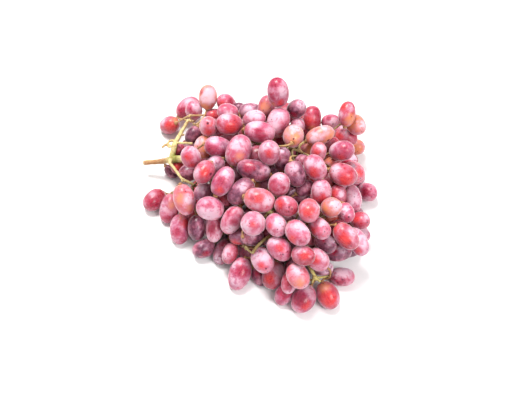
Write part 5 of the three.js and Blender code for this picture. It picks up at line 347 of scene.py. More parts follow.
        (68.41, -39.43, 43.62, 0.246, -0.968, -0.058, 8.44, 6.49, "K", [(65.35, -30.19, 44.5, 0.78), (56.15, -22.14, 41.05, 0.78), (49.25, -2.59, 39.9, 0.78), (49.8, -1.14, 39.43, 0.51)], [("w", -1.6, -3.3, 5.6, 3.97), ("c", 0, -7.2, 3, 1.59), ("c", -3.6, 1.5, 5.5, 1.03), ("d", 1.2, -6.7, 3.7, 0.86), ("d", -3.1, -4.6, 4.1, 0.67), ("d", -4.1, -0.6, 5.1, 0.67)]),
        (83.48, 21.6, 7.77, 0.736, 0.555, -0.387, 10.49, 8.42, "K", [(54.64, 9.04, 35.49, 0.53)], []),
        (71.29, 5.01, 13.82, 0.757, 0.518, -0.398, 11.48, 9.13, "W", [(54.64, 9.04, 35.49, 0.82), (45.16, 12, 46.28, 0.92)], []),
    ], [[(45.7, 11.92, 45.74, 0.8), (44.36, 11.6, 45.78, 0.75)]], [(45.3, 8.87, 45.75, 0.92), (45.48, 11.9, 45.91, 0.92), (54.64, 9.04, 35.49, 0.82), (49.8, -1.14, 39.43, 0.78)]),
    (47, [
        (93.51, 5.76, 8.09, 0.412, -0.678, 0.608, 10.35, 7.96, "M", [(81.32, 13.27, 2.62, 0.72), (76.86, 13.94, 4.97, 0.72), (69, 16.29, 14.26, 0.72), (48.3, 16.37, 35.25, 0.82), (45.3, 14.87, 38.25, 0.6)], [("c", -2.5, -5, 7.1, 3.49), ("w", -5.8, 3.2, 4.6, 2.61), ("d", 1.7, -3.1, 8.8, 0.84)]),
        (60.9, 15.09, 38.07, 0.886, 0.063, 0.46, 8.51, 6.55, "A", [(49.87, 15.04, 33.62, 0.8), (48.3, 16.37, 35.25, 0.53)], []),
        (76.66, 37.51, 10.56, 0.991, 0.125, -0.049, 11.24, 8.96, "R", [(55.81, 30.54, 12.83, 0.72), (51.65, 26.58, 15.85, 0.72), (45.3, 14.87, 38.25, 0.92), (43.8, 11.87, 42.75, 0.92)], []),
    ], [[(43.68, 11.5, 42.68, 0.8), (44.11, 12.79, 42.91, 0.75)]], [(48.3, 16.37, 35.25, 0.82), (45.3, 14.87, 38.25, 0.92)]),
    (48, [
        (60.57, 28.13, 42.58, 0.337, 0.134, 0.932, 9.17, 7.06, "R", [(51.3, 20.87, 35.25, 0.82), (46.8, 16.37, 39.75, 0.66)], []),
        (75.98, 49.75, 28.95, 0.971, -0.235, -0.043, 10.47, 7.85, "R", [(63.3, 52.37, 29.25, 0.8), (64.22, 46.37, 28.5, 0.72), (63.43, 40.37, 31.87, 0.72), (53.44, 28.37, 34.68, 0.72), (51.3, 20.87, 35.25, 0.53)], [("r", -6.6, -3.5, 4.5, 3.09), ("w", -0.6, 1, 7.8, 3.53), ("c", 3.6, -2.3, 7, 1.59)]),
        (79.54, 8.3, 33.02, 0.43, -0.889, 0.16, 10.87, 8.36, "S", [(57.18, 19.4, 31.3, 0.72), (48.25, 16.42, 38.21, 0.82), (46.8, 16.37, 39.75, 1.02), (45.3, 16.63, 40.99, 1.02)], [("r", 3.7, -5.2, 7.2, 2.95), ("w", -4.2, -1, 7.2, 3.38)]),
        (42.28, 3.63, 34.63, -0.768, -0.641, -0.025, 11.52, 8.54, "D", [(51.27, 13.21, 35.37, 0.8), (48.25, 16.42, 38.21, 0.53)], []),
    ], [[(45.3, 16.65, 40.97, 0.8), (45.3, 16.44, 41.18, 0.75)]], [(51.3, 20.87, 35.25, 0.82), (46.8, 16.37, 39.75, 1.02), (48.25, 16.42, 38.21, 0.82)]),
    (49, [
        (74.3, 51.88, 56.84, 0.138, 0.729, 0.67, 10.96, 7.38, "R", [(71.85, 45.29, 46.7, 0.78), (73, 49.89, 45.55, 0.78), (69.73, 52.77, 42.3, 0.49)], [("r", -3.2, 1.9, 7.9, 3.42), ("w", -6.3, -2.5, 2.9, 2.14), ("a", 2.7, -7.6, 1, 4.7), ("w", 1.7, 0.2, 8.5, 2.57)]),
        (83.5, 51.71, 43.18, 0.353, -0.908, 0.228, 10.61, 8.16, "A", [(78.3, 62.87, 39.75, 0.8), (69.73, 52.77, 42.3, 0.76), (54.12, 34.37, 46.94, 0.72), (52.57, 25.37, 46.99, 0.72), (48.35, 14.89, 42.75, 1.12), (47.21, 13.41, 42.58, 1.12)], [("a", -6, -3.2, 4.7, 4.35), ("w", 4.7, -4.9, 6.7, 3.48)]),
        (86.08, 54.97, 9.01, 0.881, -0.298, 0.367, 9.81, 7.55, "A", [(75.3, 58.37, 5.25, 0.8), (72.84, 35.84, 28, 0.72), (68.02, 29.8, 31.85, 0.72), (57.2, 22.47, 33.74, 0.53)], [("a", -1, -4.8, 6, 4.54)]),
        (67.72, 14.73, 53.68, 0.765, -0.306, 0.568, 10.92, 8.4, "M", [(48.35, 14.89, 42.75, 0.73)], [("c", 0.7, -4.7, 8.1, 3.71), ("r", -1.3, -8.4, 1, 2.89), ("w", -7.4, 1.5, 4.3, 3.3)]),
        (75.08, 24.45, 29.4, 0.993, -0.075, 0.096, 8.4, 6.43, "K", [(57.2, 22.47, 33.74, 0.82), (48.35, 14.89, 42.75, 0.73)], []),
    ], [[(47.08, 13.13, 42.73, 0.8), (46.87, 13.3, 42.75, 0.75)]], [(48.35, 14.89, 42.75, 1.12), (57.2, 22.47, 33.74, 0.82), (69.73, 52.77, 42.3, 0.76)]),
    (50, [
        (54.41, 45.92, 33.66, 0.865, 0.477, 0.156, 10.77, 8.66, "D", [(40.41, 40.28, 37.05, 0.72)], []),
        (74.24, 67.17, 11.5, 0.774, 0.574, 0.267, 11.58, 8.6, "K", [(55.81, 58.06, 15.81, 0.72), (44.45, 46.44, 27.75, 0.72), (40.64, 40.1, 37.14, 0.72)], []),
        (45.7, 61.32, 7.41, 0.911, 0.4, 0.098, 10.38, 8.31, "K", [(34.8, 56.87, 8.25, 0.8), (38.85, 52.17, 15.75, 0.72), (40.7, 45.12, 23.25, 0.72), (40.8, 40.2, 37.22, 0.72)], []),
    ], [[(40.64, 40.7, 36.59, 0.8), (41.43, 39.11, 37.38, 0.75)]], [(40.8, 40.37, 36.75, 0.72)]),
]

# Each branch: number, berries, stem lines and forks. A berry is its centre, the
# direction of its blossom end, half length, half width, tone, the points of its
# pedicel, and its markings: kind, place on the skin from the centre, radius.

# ---- colour ---------------------------------------------------------------


def lin(rgb):
    """sRGB 0..255 to linear"""
    out = []
    for v in rgb:
        v /= 255.0
        out.append(v / 12.92 if v <= 0.04045 else ((v + 0.055) / 1.055) ** 2.4)
    return np.array(out)


# skin under the bloom, the deeper colour of its shaded side, and how much bloom
TONES = {
    "W": (lin((208, 82, 112)), lin((162, 36, 74)), 0.60),
    "K": (lin((206, 66, 96)), lin((158, 26, 60)), 0.46),
    "M": (lin((190, 44, 90)), lin((132, 16, 56)), 0.38),
    "R": (lin((188, 32, 48)), lin((116, 8, 28)), 0.18),
    # P is dark purple skin, also given to grapes that sit in shade deep in the bunch, so partly painted shade
    "P": (lin((88, 18, 48)), lin((46, 7, 26)), 0.18),
    "A": (lin((236, 152, 92)), lin((204, 92, 62)), 0.36),
    "G": (lin((122, 68, 88)), lin((78, 38, 54)), 0.50),
    "S": (lin((226, 96, 90)), lin((188, 50, 58)), 0.42),
    # D is painted shade: the dark red given to grapes inside the bunch, which darkens the gaps between grapes
    "D": (lin((150, 20, 38)), lin((84, 6, 18)), 0.06),
}

# ---- meshes ---------------------------------------------------------------
SIDES, BANDS = 36, 27


def side_axes(d):
    h = np.array([1.0, 0, 0]) if abs(d[0]) < 0.8 else np.array([0, 1.0, 0])
    x = h - d * (h @ d)
    x /= np.linalg.norm(x)
    return x, np.cross(d, x)


def berry(rec, rng):
    """One grape: a blunt, slightly uneven oval, dimpled round its stalk, with a
    stylar scar at the other end. Returns points, faces and skin fields."""
    cx, cy, cz, dx, dy, dz, a, b, tone, pedicel, marks = rec
    c, d = np.array([cx, cy, cz]), np.array([dx, dy, dz])
    d = d / np.linalg.norm(d)
    x, y = side_axes(d)
    p = rng.uniform(2.04, 2.26)
    taper = rng.uniform(-0.05, 0.03)
    bend = rng.uniform(-0.05, 0.05) * b
    ph = rng.uniform(0, 2 * math.pi, 6)
    am = rng.uniform(0.2, 1.0, 6)
    phi = np.concatenate([[0.035, 0.085, 0.15, 0.24], np.linspace(0.36, math.pi - 0.36, BANDS - 8), [math.pi - 0.24, math.pi - 0.15, math.pi - 0.085, math.pi - 0.035]])
    th = np.arange(SIDES) * 2 * math.pi / SIDES
    PH, TH = np.meshgrid(phi, th, indexing="ij")
    cp, sp = np.cos(PH), np.sin(PH)
    z = -a * np.sign(cp) * np.abs(cp) ** (2 / p)
    r = b * sp ** (2 / p)
    r = r * (1 + taper * z / a)
    r = r * (1 + 0.012 * am[0] * np.sin(2 * TH + ph[0]) + 0.007 * am[1] * np.sin(3 * TH + ph[1]) * sp + 0.006 * am[2] * np.sin(5 * TH + ph[2] + 1.4 * z / a))
    r = r * (1 + 0.010 * am[3] * np.sin(3.1 * z / a + ph[3]) + 0.006 * am[4] * np.sin(4.7 * z / a + 2 * TH + ph[4]))
    dim = 0.75 * np.exp(-((r / 2.1) ** 2)) * (z < 0) - 0.12 * np.exp(-((r / 0.55) ** 2)) * (z > 0) + 0.16 * np.exp(-((r / 1.5) ** 2)) * (z > 0)
    z = z + np.where(z < 0, dim, -dim)
    off = bend * (z / a) ** 2 - bend * 0.33
    lx, ly = r * np.cos(TH) + off, r * np.sin(TH)
    pts = lx[..., None] * x + ly[..., None] * y + z[..., None] * d + c
    pts = pts.reshape(-1, 3)
    loc = np.stack([lx, ly, z], -1).reshape(-1, 3)
    zt, zb = -a + 0.75, a - 0.16 + 0.12
    pts = np.vstack([pts, c + d * zt + x * off[0, 0], c + d * zb + x * off[-1, 0]])
    loc = np.vstack([loc, [off[0, 0], 0, zt], [off[-1, 0], 0, zb]])
    n = len(phi)
    faces = []
    for i in range(n - 1):
        for j in range(SIDES):
            k = (j + 1) % SIDES
            faces.append((i * SIDES + j, i * SIDES + k, (i + 1) * SIDES + k, (i + 1) * SIDES + j))
    s, e = n * SIDES, n * SIDES + 1
    for j in range(SIDES):
        k = (j + 1) % SIDES
        faces.append((s, k, j))
        faces.append((e, (n - 1) * SIDES + j, (n - 1) * SIDES + k))
    rel = pts - c
    pts[:, 2] = np.maximum(pts[:, 2], 0.02)
    # skin fields: how far each point lies inside the rubbed, amber, bloomed and
    # purple markings (millimetres, negative outside), and to the nearest dot
    fields = {m: np.full(len(pts), -30.0) for m in "rcawpd"}
    for kind, mx, my, mz, mr in marks:
        m = np.array([mx, my, mz])
        fields[kind] = np.maximum(fields[kind], mr - np.linalg.norm(rel - m, axis=1))
    fields["d"] = np.maximum(fields["d"], 0.42 - np.linalg.norm(rel - (pts[-1] - c), axis=1))
    ring = 1.9 - np.linalg.norm(rel - (pts[-2] - c), axis=1)
    if not marks:  # a grape nobody has handled still has a paler side and a redder one
        for kind, prob, lo, hi in (("r", 0.55, 2.5, 5.5), ("c", 0.45, 1.5, 4.5), ("w", 0.9, 4.0, 7.0), ("a", 0.18, 2.5, 4.5), ("p", 0.3, 3.0, 5.0)):
            if rng.random() < prob:
                v = rng.normal(size=3)
                v /= np.linalg.norm(v)
                m = (x * v[0] + y * v[1]) * b + d * v[2] * a
                fields[kind] = np.maximum(fields[kind], rng.uniform(lo, hi) - np.linalg.norm(rel - m, axis=1))
    base, deep_tone_and_shade, bloom = TONES[tone]
    tint = 1 + rng.uniform(-0.10, 0.10, 3) * np.array([0.5, 1.0, 1.0])
    t = loc[:, 2] / a
    underside_shade = np.clip(-(rel[:, 2]) / b, -1, 1)  # painted shade: undersides are a little deeper
    mix = np.clip(0.35 + 0.35 * underside_shade + 0.15 * np.sin(2.3 * t + ph[5]), 0, 1)[:, None]
    colour = (base * tint) * (1 - mix) + (deep_tone_and_shade * tint) * mix
    amber = 0.5 if tone in "AKSWR" else 0.15
    near = np.clip((-t - 0.62) / 0.38, 0, 1)[:, None] * amber
    colour = colour * (1 - near) + lin((232, 150, 84)) * near
    colour = np.clip(colour, 0, 1)
    return dict(
        pts=pts, faces=faces, loc=loc + rng.uniform(-400, 400, 3),
        f1=np.stack([np.maximum(fields["r"], -30), fields["c"], fields["a"], fields["w"]], 1),
        f2=np.stack([fields["p"], fields["d"], ring, np.full(len(pts), bloom * rng.uniform(0.85, 1.15))], 1),
        col=np.concatenate([colour, np.full((len(pts), 1), rng.random())], 1),
    )


def rounded(path):
    """Cuts a line's corners twice and spaces its points about 1 mm apart."""
    p = np.array(path, float)
    for _ in range(2):
        if len(p) < 3:
            break
        q = [p[0]]
        for i in range(len(p) - 1):
            if i > 0:
                q.append(p[i] * 0.75 + p[i + 1] * 0.25)
            if i < len(p) - 2:
                q.append(p[i] * 0.25 + p[i + 1] * 0.75)
        q.append(p[-1])
        p = np.array(q)
    out = [p[0]]
    for i in range(len(p) - 1):
        n = max(1, int(np.linalg.norm(p[i + 1][:3] - p[i][:3]) / 1.3))
        for k in range(1, n + 1):
            out.append(p[i] + (p[i + 1] - p[i]) * k / n)
    keep = [out[0]]
    for q in out[1:]:
        if np.linalg.norm(q[:3] - keep[-1][:3]) > 0.25:
            keep.append(q)
    return np.array(keep)


def tube(line, sides, rng, rough=0.06, dome=0.35):
    """A closed, slightly uneven tube along points (x, y, z, radius)."""
    p = line[:, :3]
    r = line[:, 3]
    n = len(p)
    tan = np.zeros((n, 3))
    tan[1:-1] = p[2:] - p[:-2]
    tan[0], tan[-1] = p[1] - p[0], p[-1] - p[-2]
    tan /= np.linalg.norm(tan, axis=1)[:, None] + 1e-12
    x, _ = side_axes(tan[0])
    th = np.arange(sides) * 2 * math.pi / sides
    ph = rng.uniform(0, 6.28, 3)
    pts, s = [], 0.0
    for i in range(n):
        x = x - tan[i] * (x @ tan[i])
        x /= np.linalg.norm(x) + 1e-12
        y = np.cross(tan[i], x)
        if i:
            s += np.linalg.norm(p[i] - p[i - 1])
        w = 1 + rough * (np.sin(3 * th + ph[0] + 0.25 * s) * 0.6 + np.sin(5 * th + ph[1] - 0.4 * s) * 0.4 + 0.7 * math.sin(0.9 * s + ph[2]))
        pts.append(p[i] + r[i] * w[:, None] * (np.cos(th)[:, None] * x + np.sin(th)[:, None] * y))
    pts = np.vstack(pts + [p[0] - tan[0] * r[0] * dome, p[-1] + tan[-1] * r[-1] * dome])
    faces = []
    for i in range(n - 1):
        for j in range(sides):
            k = (j + 1) % sides
            faces.append((i * sides + j, i * sides + k, (i + 1) * sides + k, (i + 1) * sides + j))
    a, b = n * sides, n * sides + 1
    for j in range(sides):
        k = (j + 1) % sides
        faces.append((a, k, j))
        faces.append((b, (n - 1) * sides + j, (n - 1) * sides + k))
    return pts, faces


def lump(centre, radius, stretch, axis, rng, sides=12, bands=8):
    """A closed uneven knot."""
    d = np.array(axis, float)
    d /= np.linalg.norm(d)
    x, y = side_axes(d)
    ph = rng.uniform(0, 6.28, 3)
    pts = []
    for i in range(1, bands):
        f = math.pi * i / bands
        for j in range(sides):
            t = 2 * math.pi * j / sides
            w = radius * (1 + 0.08 * math.sin(3 * t + ph[0]) * math.sin(f) + 0.06 * math.sin(2 * f + ph[1]))
            pts.append(np.array(centre) - d * w * stretch * math.cos(f) + (x * math.cos(t) + y * math.sin(t)) * w * math.sin(f))
    pts.append(np.array(centre) - d * radius * stretch)
    pts.append(np.array(centre) + d * radius * stretch)
    faces = []
    for i in range(bands - 2):
        for j in range(sides):
            k = (j + 1) % sides
            faces.append((i * sides + j, i * sides + k, (i + 1) * sides + k, (i + 1) * sides + j))
    a, b = (bands - 1) * sides, (bands - 1) * sides + 1
    for j in range(sides):
        k = (j + 1) % sides
        faces.append((a, k, j))
        faces.append((b, (bands - 2) * sides + j, (bands - 2) * sides + k))
    return np.array(pts), faces


def make(name, parts, material, layers):
    """One object from several closed shells, with its skin or stem fields."""
    pts, faces, n = [], [], 0
    for q in parts:
        pts.append(q["pts"])
        faces += [tuple(v + n for v in f) for f in q["faces"]]
        n += len(q["pts"])
    pts = np.vstack(pts) * MM
    mesh = bpy.data.meshes.new(name)
    mesh.from_pydata(pts.tolist(), [], faces)
    for key, kind in layers.items():
        val = np.vstack([q[key] for q in parts]).astype(np.float32)
        at = mesh.attributes.new(key, kind, "POINT")
        at.data.foreach_set("vector" if kind == "FLOAT_VECTOR" else "color", val.ravel())
    mesh.polygons.foreach_set("use_smooth", [True] * len(mesh.polygons))
    mesh.materials.append(material)
    mesh.update()
    o = bpy.data.objects.new(name, mesh)
    bpy.context.scene.collection.objects.link(o)
    return o


# ---- materials ------------------------------------------------------------
class Nodes:
    """Short calls for a material's nodes."""

    def __init__(self, name):
        self.mat = bpy.data.materials.new(name)
        self.mat.use_nodes = True
        self.t = self.mat.node_tree
        self.t.nodes.clear()

    def add(self, kind, **props):
        n = self.t.nodes.new(kind)
        for k, v in props.items():
            setattr(n, k, v)
        return n

    def put(self, sock, v):
        if isinstance(v, bpy.types.NodeSocket):
            self.t.links.new(v, sock)
        elif v is not None:
            sock.default_value = v

    def attr(self, name):
        return self.add("ShaderNodeAttribute", attribute_name=name)

    def split(self, v):
        n = self.add("ShaderNodeSeparateXYZ")
        self.put(n.inputs[0], v)
        return n.outputs[0], n.outputs[1], n.outputs[2]

    def math(self, op, a, b=None, c=None, clamp=False):
        n = self.add("ShaderNodeMath", operation=op, use_clamp=clamp)
        for s, v in zip(n.inputs, (a, b, c)):
            self.put(s, v)
        return n.outputs[0]

    def ramp(self, v, lo, hi, a=0.0, b=1.0, smooth=True):
        n = self.add("ShaderNodeMapRange", interpolation_type="SMOOTHSTEP" if smooth else "LINEAR")
        self.put(n.inputs["Value"], v)
        for k, x in (("From Min", lo), ("From Max", hi), ("To Min", a), ("To Max", b)):
            self.put(n.inputs[k], x)
        return n.outputs["Result"]

    def mix(self, f, a, b, mode="MIX"):
        n = self.add("ShaderNodeMix", data_type="RGBA", blend_type=mode, clamp_factor=True)
        self.put(n.inputs["Factor"], f)
        for s, v in ((n.inputs[6], a), (n.inputs[7], b)):
            self.put(s, tuple(v) + (1.0,) if not isinstance(v, bpy.types.NodeSocket) and len(v) == 3 else v)
        return n.outputs[2]

    def noise(self, co, scale, detail=3.0, rough=0.55, distort=0.0):
        n = self.add("ShaderNodeTexNoise")
        self.put(n.inputs["Vector"], co)
        self.put(n.inputs["Scale"], scale)
        self.put(n.inputs["Detail"], detail)
        self.put(n.inputs["Roughness"], rough)
        self.put(n.inputs["Distortion"], distort)
        return n.outputs[0]

    def cells(self, co, scale):
        n = self.add("ShaderNodeTexVoronoi", feature="F1")
        self.put(n.inputs["Vector"], co)
        self.put(n.inputs["Scale"], scale)
        return n.outputs["Distance"], n.outputs["Color"]

    def scaled(self, co, v):
        n = self.add("ShaderNodeVectorMath", operation="MULTIPLY")
        self.put(n.inputs[0], co)
        self.put(n.inputs[1], v)
        return n.outputs[0]

    def bump(self, height, strength, distance, normal=None):
        n = self.add("ShaderNodeBump")
        self.put(n.inputs["Strength"], strength)
        self.put(n.inputs["Distance"], distance)
        self.put(n.inputs["Height"], height)
        self.put(n.inputs["Normal"], normal)
        return n.outputs[0]

    def finish(self, **inputs):
        n = self.add("ShaderNodeBsdfPrincipled")
        for k, v in inputs.items():
            self.put(n.inputs[k.replace("_", " ")], v)
        out = self.add("ShaderNodeOutputMaterial")
        self.t.links.new(n.outputs[0], out.inputs[0])
        return n


def grape_skin():
    m = Nodes("grape_skin")
    co = m.attr("loc").outputs["Vector"]
    one, two, base = m.attr("f1"), m.attr("f2"), m.attr("col")
    red, crimson, amber = m.split(one.outputs["Vector"])
    white = one.outputs["Alpha"]
    purple, dots, ring = m.split(two.outputs["Vector"])
    bloom = two.outputs["Alpha"]
    skin = base.outputs["Color"]

    cloud = m.noise(co, 0.11, 3.0)  # about 9 mm
    blot = m.noise(co, 0.34, 4.0, 0.6, 0.4)  # about 3 mm
    fine = m.noise(co, 1.6, 4.0, 0.62)  # under 1 mm
    streak = m.noise(m.scaled(co, (1.0, 1.0, 0.16)), 0.85, 4.0, 0.6, 0.3)  # along the grape

    def wobble(v, amount):
        w = m.math("MULTIPLY_ADD", m.math("SUBTRACT", blot, 0.5), amount, v)
        return m.math("MULTIPLY_ADD", m.math("SUBTRACT", fine, 0.5), amount * 0.35, w)

    # flesh seen through the skin
    skin = m.mix(m.ramp(cloud, 0.42, 0.64, 0.0, 0.42), skin, lin((232, 92, 96)))
    skin = m.mix(m.ramp(streak, 0.50, 0.74, 0.0, 0.26), skin, lin((120, 20, 52)))
    skin = m.mix(m.ramp(streak, 0.44, 0.28, 0.0, 0.22), skin, lin((240, 150, 140)))
    is_amber = m.ramp(wobble(amber, 3.6), -3.4, 2.6)
    skin = m.mix(m.math("MULTIPLY", is_amber, 0.80), skin, lin((242, 164, 104)))
    is_red = m.ramp(wobble(red, 4.6), -2.9, 2.3)
    skin = m.mix(m.math("MULTIPLY", is_red, 0.85), skin, m.mix(m.ramp(streak, 0.34, 0.74), lin((234, 84, 76)), lin((204, 42, 58))))
    is_crimson = m.ramp(wobble(crimson, 4.4), -2.3, 1.6)
    skin = m.mix(m.math("MULTIPLY", is_crimson, 0.82), skin, m.mix(m.ramp(streak, 0.34, 0.74), lin((188, 30, 72)), lin((140, 14, 50))))
    is_purple = m.ramp(wobble(purple, 3.0), -1.8, 2.0)
    skin = m.mix(m.math("MULTIPLY", is_purple, 0.72), skin, lin((78, 18, 52)))

    # waxy bloom: clouds, thicker where marked, rubbed off in blotches
    rubbed = m.math("MAXIMUM", is_red, m.math("MULTIPLY", is_crimson, 0.85))
    rubbed = m.math("MAXIMUM", rubbed, m.math("MULTIPLY", is_amber, 0.55))
    wax = m.math("MULTIPLY_ADD", m.ramp(cloud, 0.36, 0.66), 0.34, m.math("MULTIPLY", bloom, 0.55))
    wax = m.math("MULTIPLY_ADD", m.ramp(wobble(white, 3.4), -3.4, 3.0), 0.60, wax)
    wax = m.math("MULTIPLY_ADD", m.ramp(blot, 0.62, 0.40, 0.0, 1.0), 0.14, wax)
    wax = m.math("MULTIPLY", wax, m.ramp(fine, 0.25, 0.60, 0.84, 1.05))
    wax = m.math("MULTIPLY", wax, m.math("SUBTRACT", 1.0, m.math("MULTIPLY", rubbed, 0.78)))
    wax = m.math("MULTIPLY", wax, m.ramp(m.noise(co, 0.20, 2.0, 0.5, 1.0), 0.34, 0.50, 0.55, 1.0), clamp=True)
    colour = m.mix(m.ramp(wax, -0.12, 0.55, 0.0, 0.56), skin, lin((208, 148, 178)))
    colour = m.mix(m.ramp(wax, 0.30, 1.0, 0.0, 0.74), colour, lin((234, 206, 222)))

    deepen = m.add("ShaderNodeGamma")
    m.put(deepen.inputs["Color"], colour)
    m.put(deepen.inputs["Gamma"], 1.16)
    colour = m.mix(1.0, deepen.outputs[0], (0.895, 0.915, 0.885), "MULTIPLY")

    # pores: small pale ones all over, a few dark
    far, which = m.cells(co, 0.78)
    kind = m.split(which)[0]
    pale = m.math("MULTIPLY", m.ramp(far, 0.16, 0.09), m.ramp(kind, 0.45, 0.5))
    colour = m.mix(m.math("MULTIPLY", pale, 0.24), colour, lin((250, 214, 206)))
    dark = m.math("MULTIPLY", m.ramp(far, 0.30, 0.20), m.ramp(kind, 0.055, 0.045))
    far2, which2 = m.cells(co, 0.30)
    scar = m.math("MULTIPLY", m.ramp(m.math("MULTIPLY_ADD", fine, 0.14, far2), 0.30, 0.22), m.ramp(m.split(which2)[1], 0.10, 0.08))
    dot = m.ramp(m.math("MULTIPLY_ADD", m.math("SUBTRACT", fine, 0.5), 0.6, dots), -0.25, 0.2)
    line = m.math("ABSOLUTE", m.math("SUBTRACT", m.noise(m.scaled(co, (1.0, 1.0, 0.45)), 0.30, 2.0, 0.5, 1.2), 0.5))
    scuff = m.math("MULTIPLY", m.ramp(line, 0.011, 0.002), m.ramp(blot, 0.52, 0.62))
    spot = m.math("MAXIMUM", m.math("MULTIPLY", scuff, 0.5), m.math("MAXIMUM", m.math("MULTIPLY", dark, 0.7), m.math("MULTIPLY", scar, 0.7)))
    spot = m.math("MAXIMUM", spot, m.math("MULTIPLY", dot, 0.92))
    colour = m.mix(m.math("MULTIPLY", spot, 0.92), colour, lin((68, 18, 42)))

    # the corky ring under the stalk
    cork = m.ramp(m.math("MULTIPLY_ADD", m.math("SUBTRACT", fine, 0.5), 1.2, ring), -0.5, 0.5, 0.0, 0.8)
    colour = m.mix(cork, colour, lin((150, 108, 64)))

    rough = m.math("MULTIPLY_ADD", wax, 0.26, 0.20)
    rough = m.math("MULTIPLY_ADD", fine, 0.10, rough, clamp=True)
    h = m.math("MULTIPLY_ADD", wax, 0.25, m.math("MULTIPLY", fine, 0.35))
    h = m.math("MULTIPLY_ADD", spot, -0.5, h)
    n = m.bump(h, 0.35, 0.00022)
    b = m.finish(Base_Color=colour, Roughness=rough, Normal=n)
    b.inputs["Subsurface Weight"].default_value = 0.22
    b.inputs["Subsurface Radius"].default_value = (1.0, 0.34, 0.26)
    b.inputs["Subsurface Scale"].default_value = 0.0035
    b.inputs["Specular IOR Level"].default_value = 0.5
    b.inputs["IOR"].default_value = 1.42
    b.inputs["Sheen Weight"].default_value = 1.0
    b.inputs["Sheen Roughness"].default_value = 0.26
    b.inputs["Sheen Tint"].default_value = (1.0, 0.88, 0.93, 1.0)
    return m.mat


def grape_stem():
    m = Nodes("grape_stem")
    co = m.attr("loc").outputs["Vector"]
    base = m.attr("col").outputs["Color"]
    fibre = m.noise(m.scaled(co, (1.0, 1.0, 0.14)), 2.4, 4.0, 0.65)
    patch = m.noise(co, 0.45, 3.0, 0.6)
    fine = m.noise(co, 4.0, 3.0, 0.6)
    colour = m.mix(m.ramp(fibre, 0.46, 0.66, 0.0, 0.40), base, lin((232, 220, 176)))
    colour = m.mix(m.ramp(fibre, 0.47, 0.30, 0.0, 0.62), colour, lin((116, 88, 50)))
    colour = m.mix(m.ramp(patch, 0.52, 0.66, 0.0, 0.6), colour, lin((162, 108, 68)))
    far, which = m.cells(co, 1.3)
    colour = m.mix(m.math("MULTIPLY", m.ramp(far, 0.26, 0.16), m.ramp(m.split(which)[0], 0.24, 0.2)), colour, lin((104, 70, 40)))
    h = m.math("MULTIPLY_ADD", fibre, 0.7, m.math("MULTIPLY", fine, 0.3))
    n = m.bump(h, 0.6, 0.0004)
    b = m.finish(Base_Color=colour, Roughness=m.ramp(patch, 0.3, 0.7, 0.55, 0.8), Normal=n)
    b.inputs["Subsurface Weight"].default_value = 0.12
    b.inputs["Subsurface Radius"].default_value = (1.0, 0.8, 0.4)
    b.inputs["Subsurface Scale"].default_value = 0.0012
    b.inputs["Specular IOR Level"].default_value = 0.35
    return m.mat


SKIN, STEM = grape_skin(), grape_stem()
BERRY_LAYERS = {"loc": "FLOAT_VECTOR", "f1": "FLOAT_COLOR", "f2": "FLOAT_COLOR", "col": "FLOAT_COLOR"}
STEM_LAYERS = {"loc": "FLOAT_VECTOR", "col": "FLOAT_COLOR"}

STRAW, TAN, GREEN = lin((216, 200, 144)), lin((172, 120, 78)), lin((136, 142, 56))
ROSE, CUT, OLIVE_PAINTED_SHADE = lin((176, 112, 80)), lin((240, 222, 180)), lin((128, 108, 52))
# dark olive painted shade for stalks inside the bunch
INNER_PAINTED_SHADE = lin((104, 84, 50))


def stem_part(pts, faces, colour, rng, axis=(0, 0, 1)):
    """Stem shell with its fields: fibres run along axis."""
    pts = pts.copy()
    pts[:, 2] = np.maximum(pts[:, 2], 0.02)
    d = np.array(axis, float)
    d /= np.linalg.norm(d) + 1e-12
    x, y = side_axes(d)
    loc = np.stack([pts @ x, pts @ y, pts @ d], 1)
    return dict(pts=pts, faces=faces, loc=loc + rng.uniform(-300, 300, 3), col=np.concatenate([np.clip(colour, 0, 1), np.ones((len(pts), 1))], 1))


def stalk_colour(pts, shade=1.0):
    """Dark olive painted shade inside the bunch, darker still by shade, pale tan at its upper left, straw near its top.
    """
    x, y, z = pts[:, 0], pts[:, 1], pts[:, 2]
    # painted shade: stalks start dark olive, as if in the shade inside the bunch; shade darkens them further
    c = np.tile(INNER_PAINTED_SHADE * shade, (len(pts), 1))
    w = (np.clip((y - 34) / 10, 0, 1) * np.clip((-38 - x) / 10, 0, 1) * 0.85)[:, None]
    c = c * (1 - w) + lin((204, 172, 122)) * w
    w = (np.clip((z - 46) / 10, 0, 1) * np.clip((x - 12) / 10, 0, 1) * 0.7)[:, None]
    c = c * (1 - w) + lin((204, 184, 120)) * w
    w = (np.clip(1 - np.linalg.norm(pts - np.array([50.0, -84.0, 16.0]), axis=1) / 26, 0, 1) * 0.9)[:, None]
    return c * (1 - w) + lin((172, 126, 76)) * w


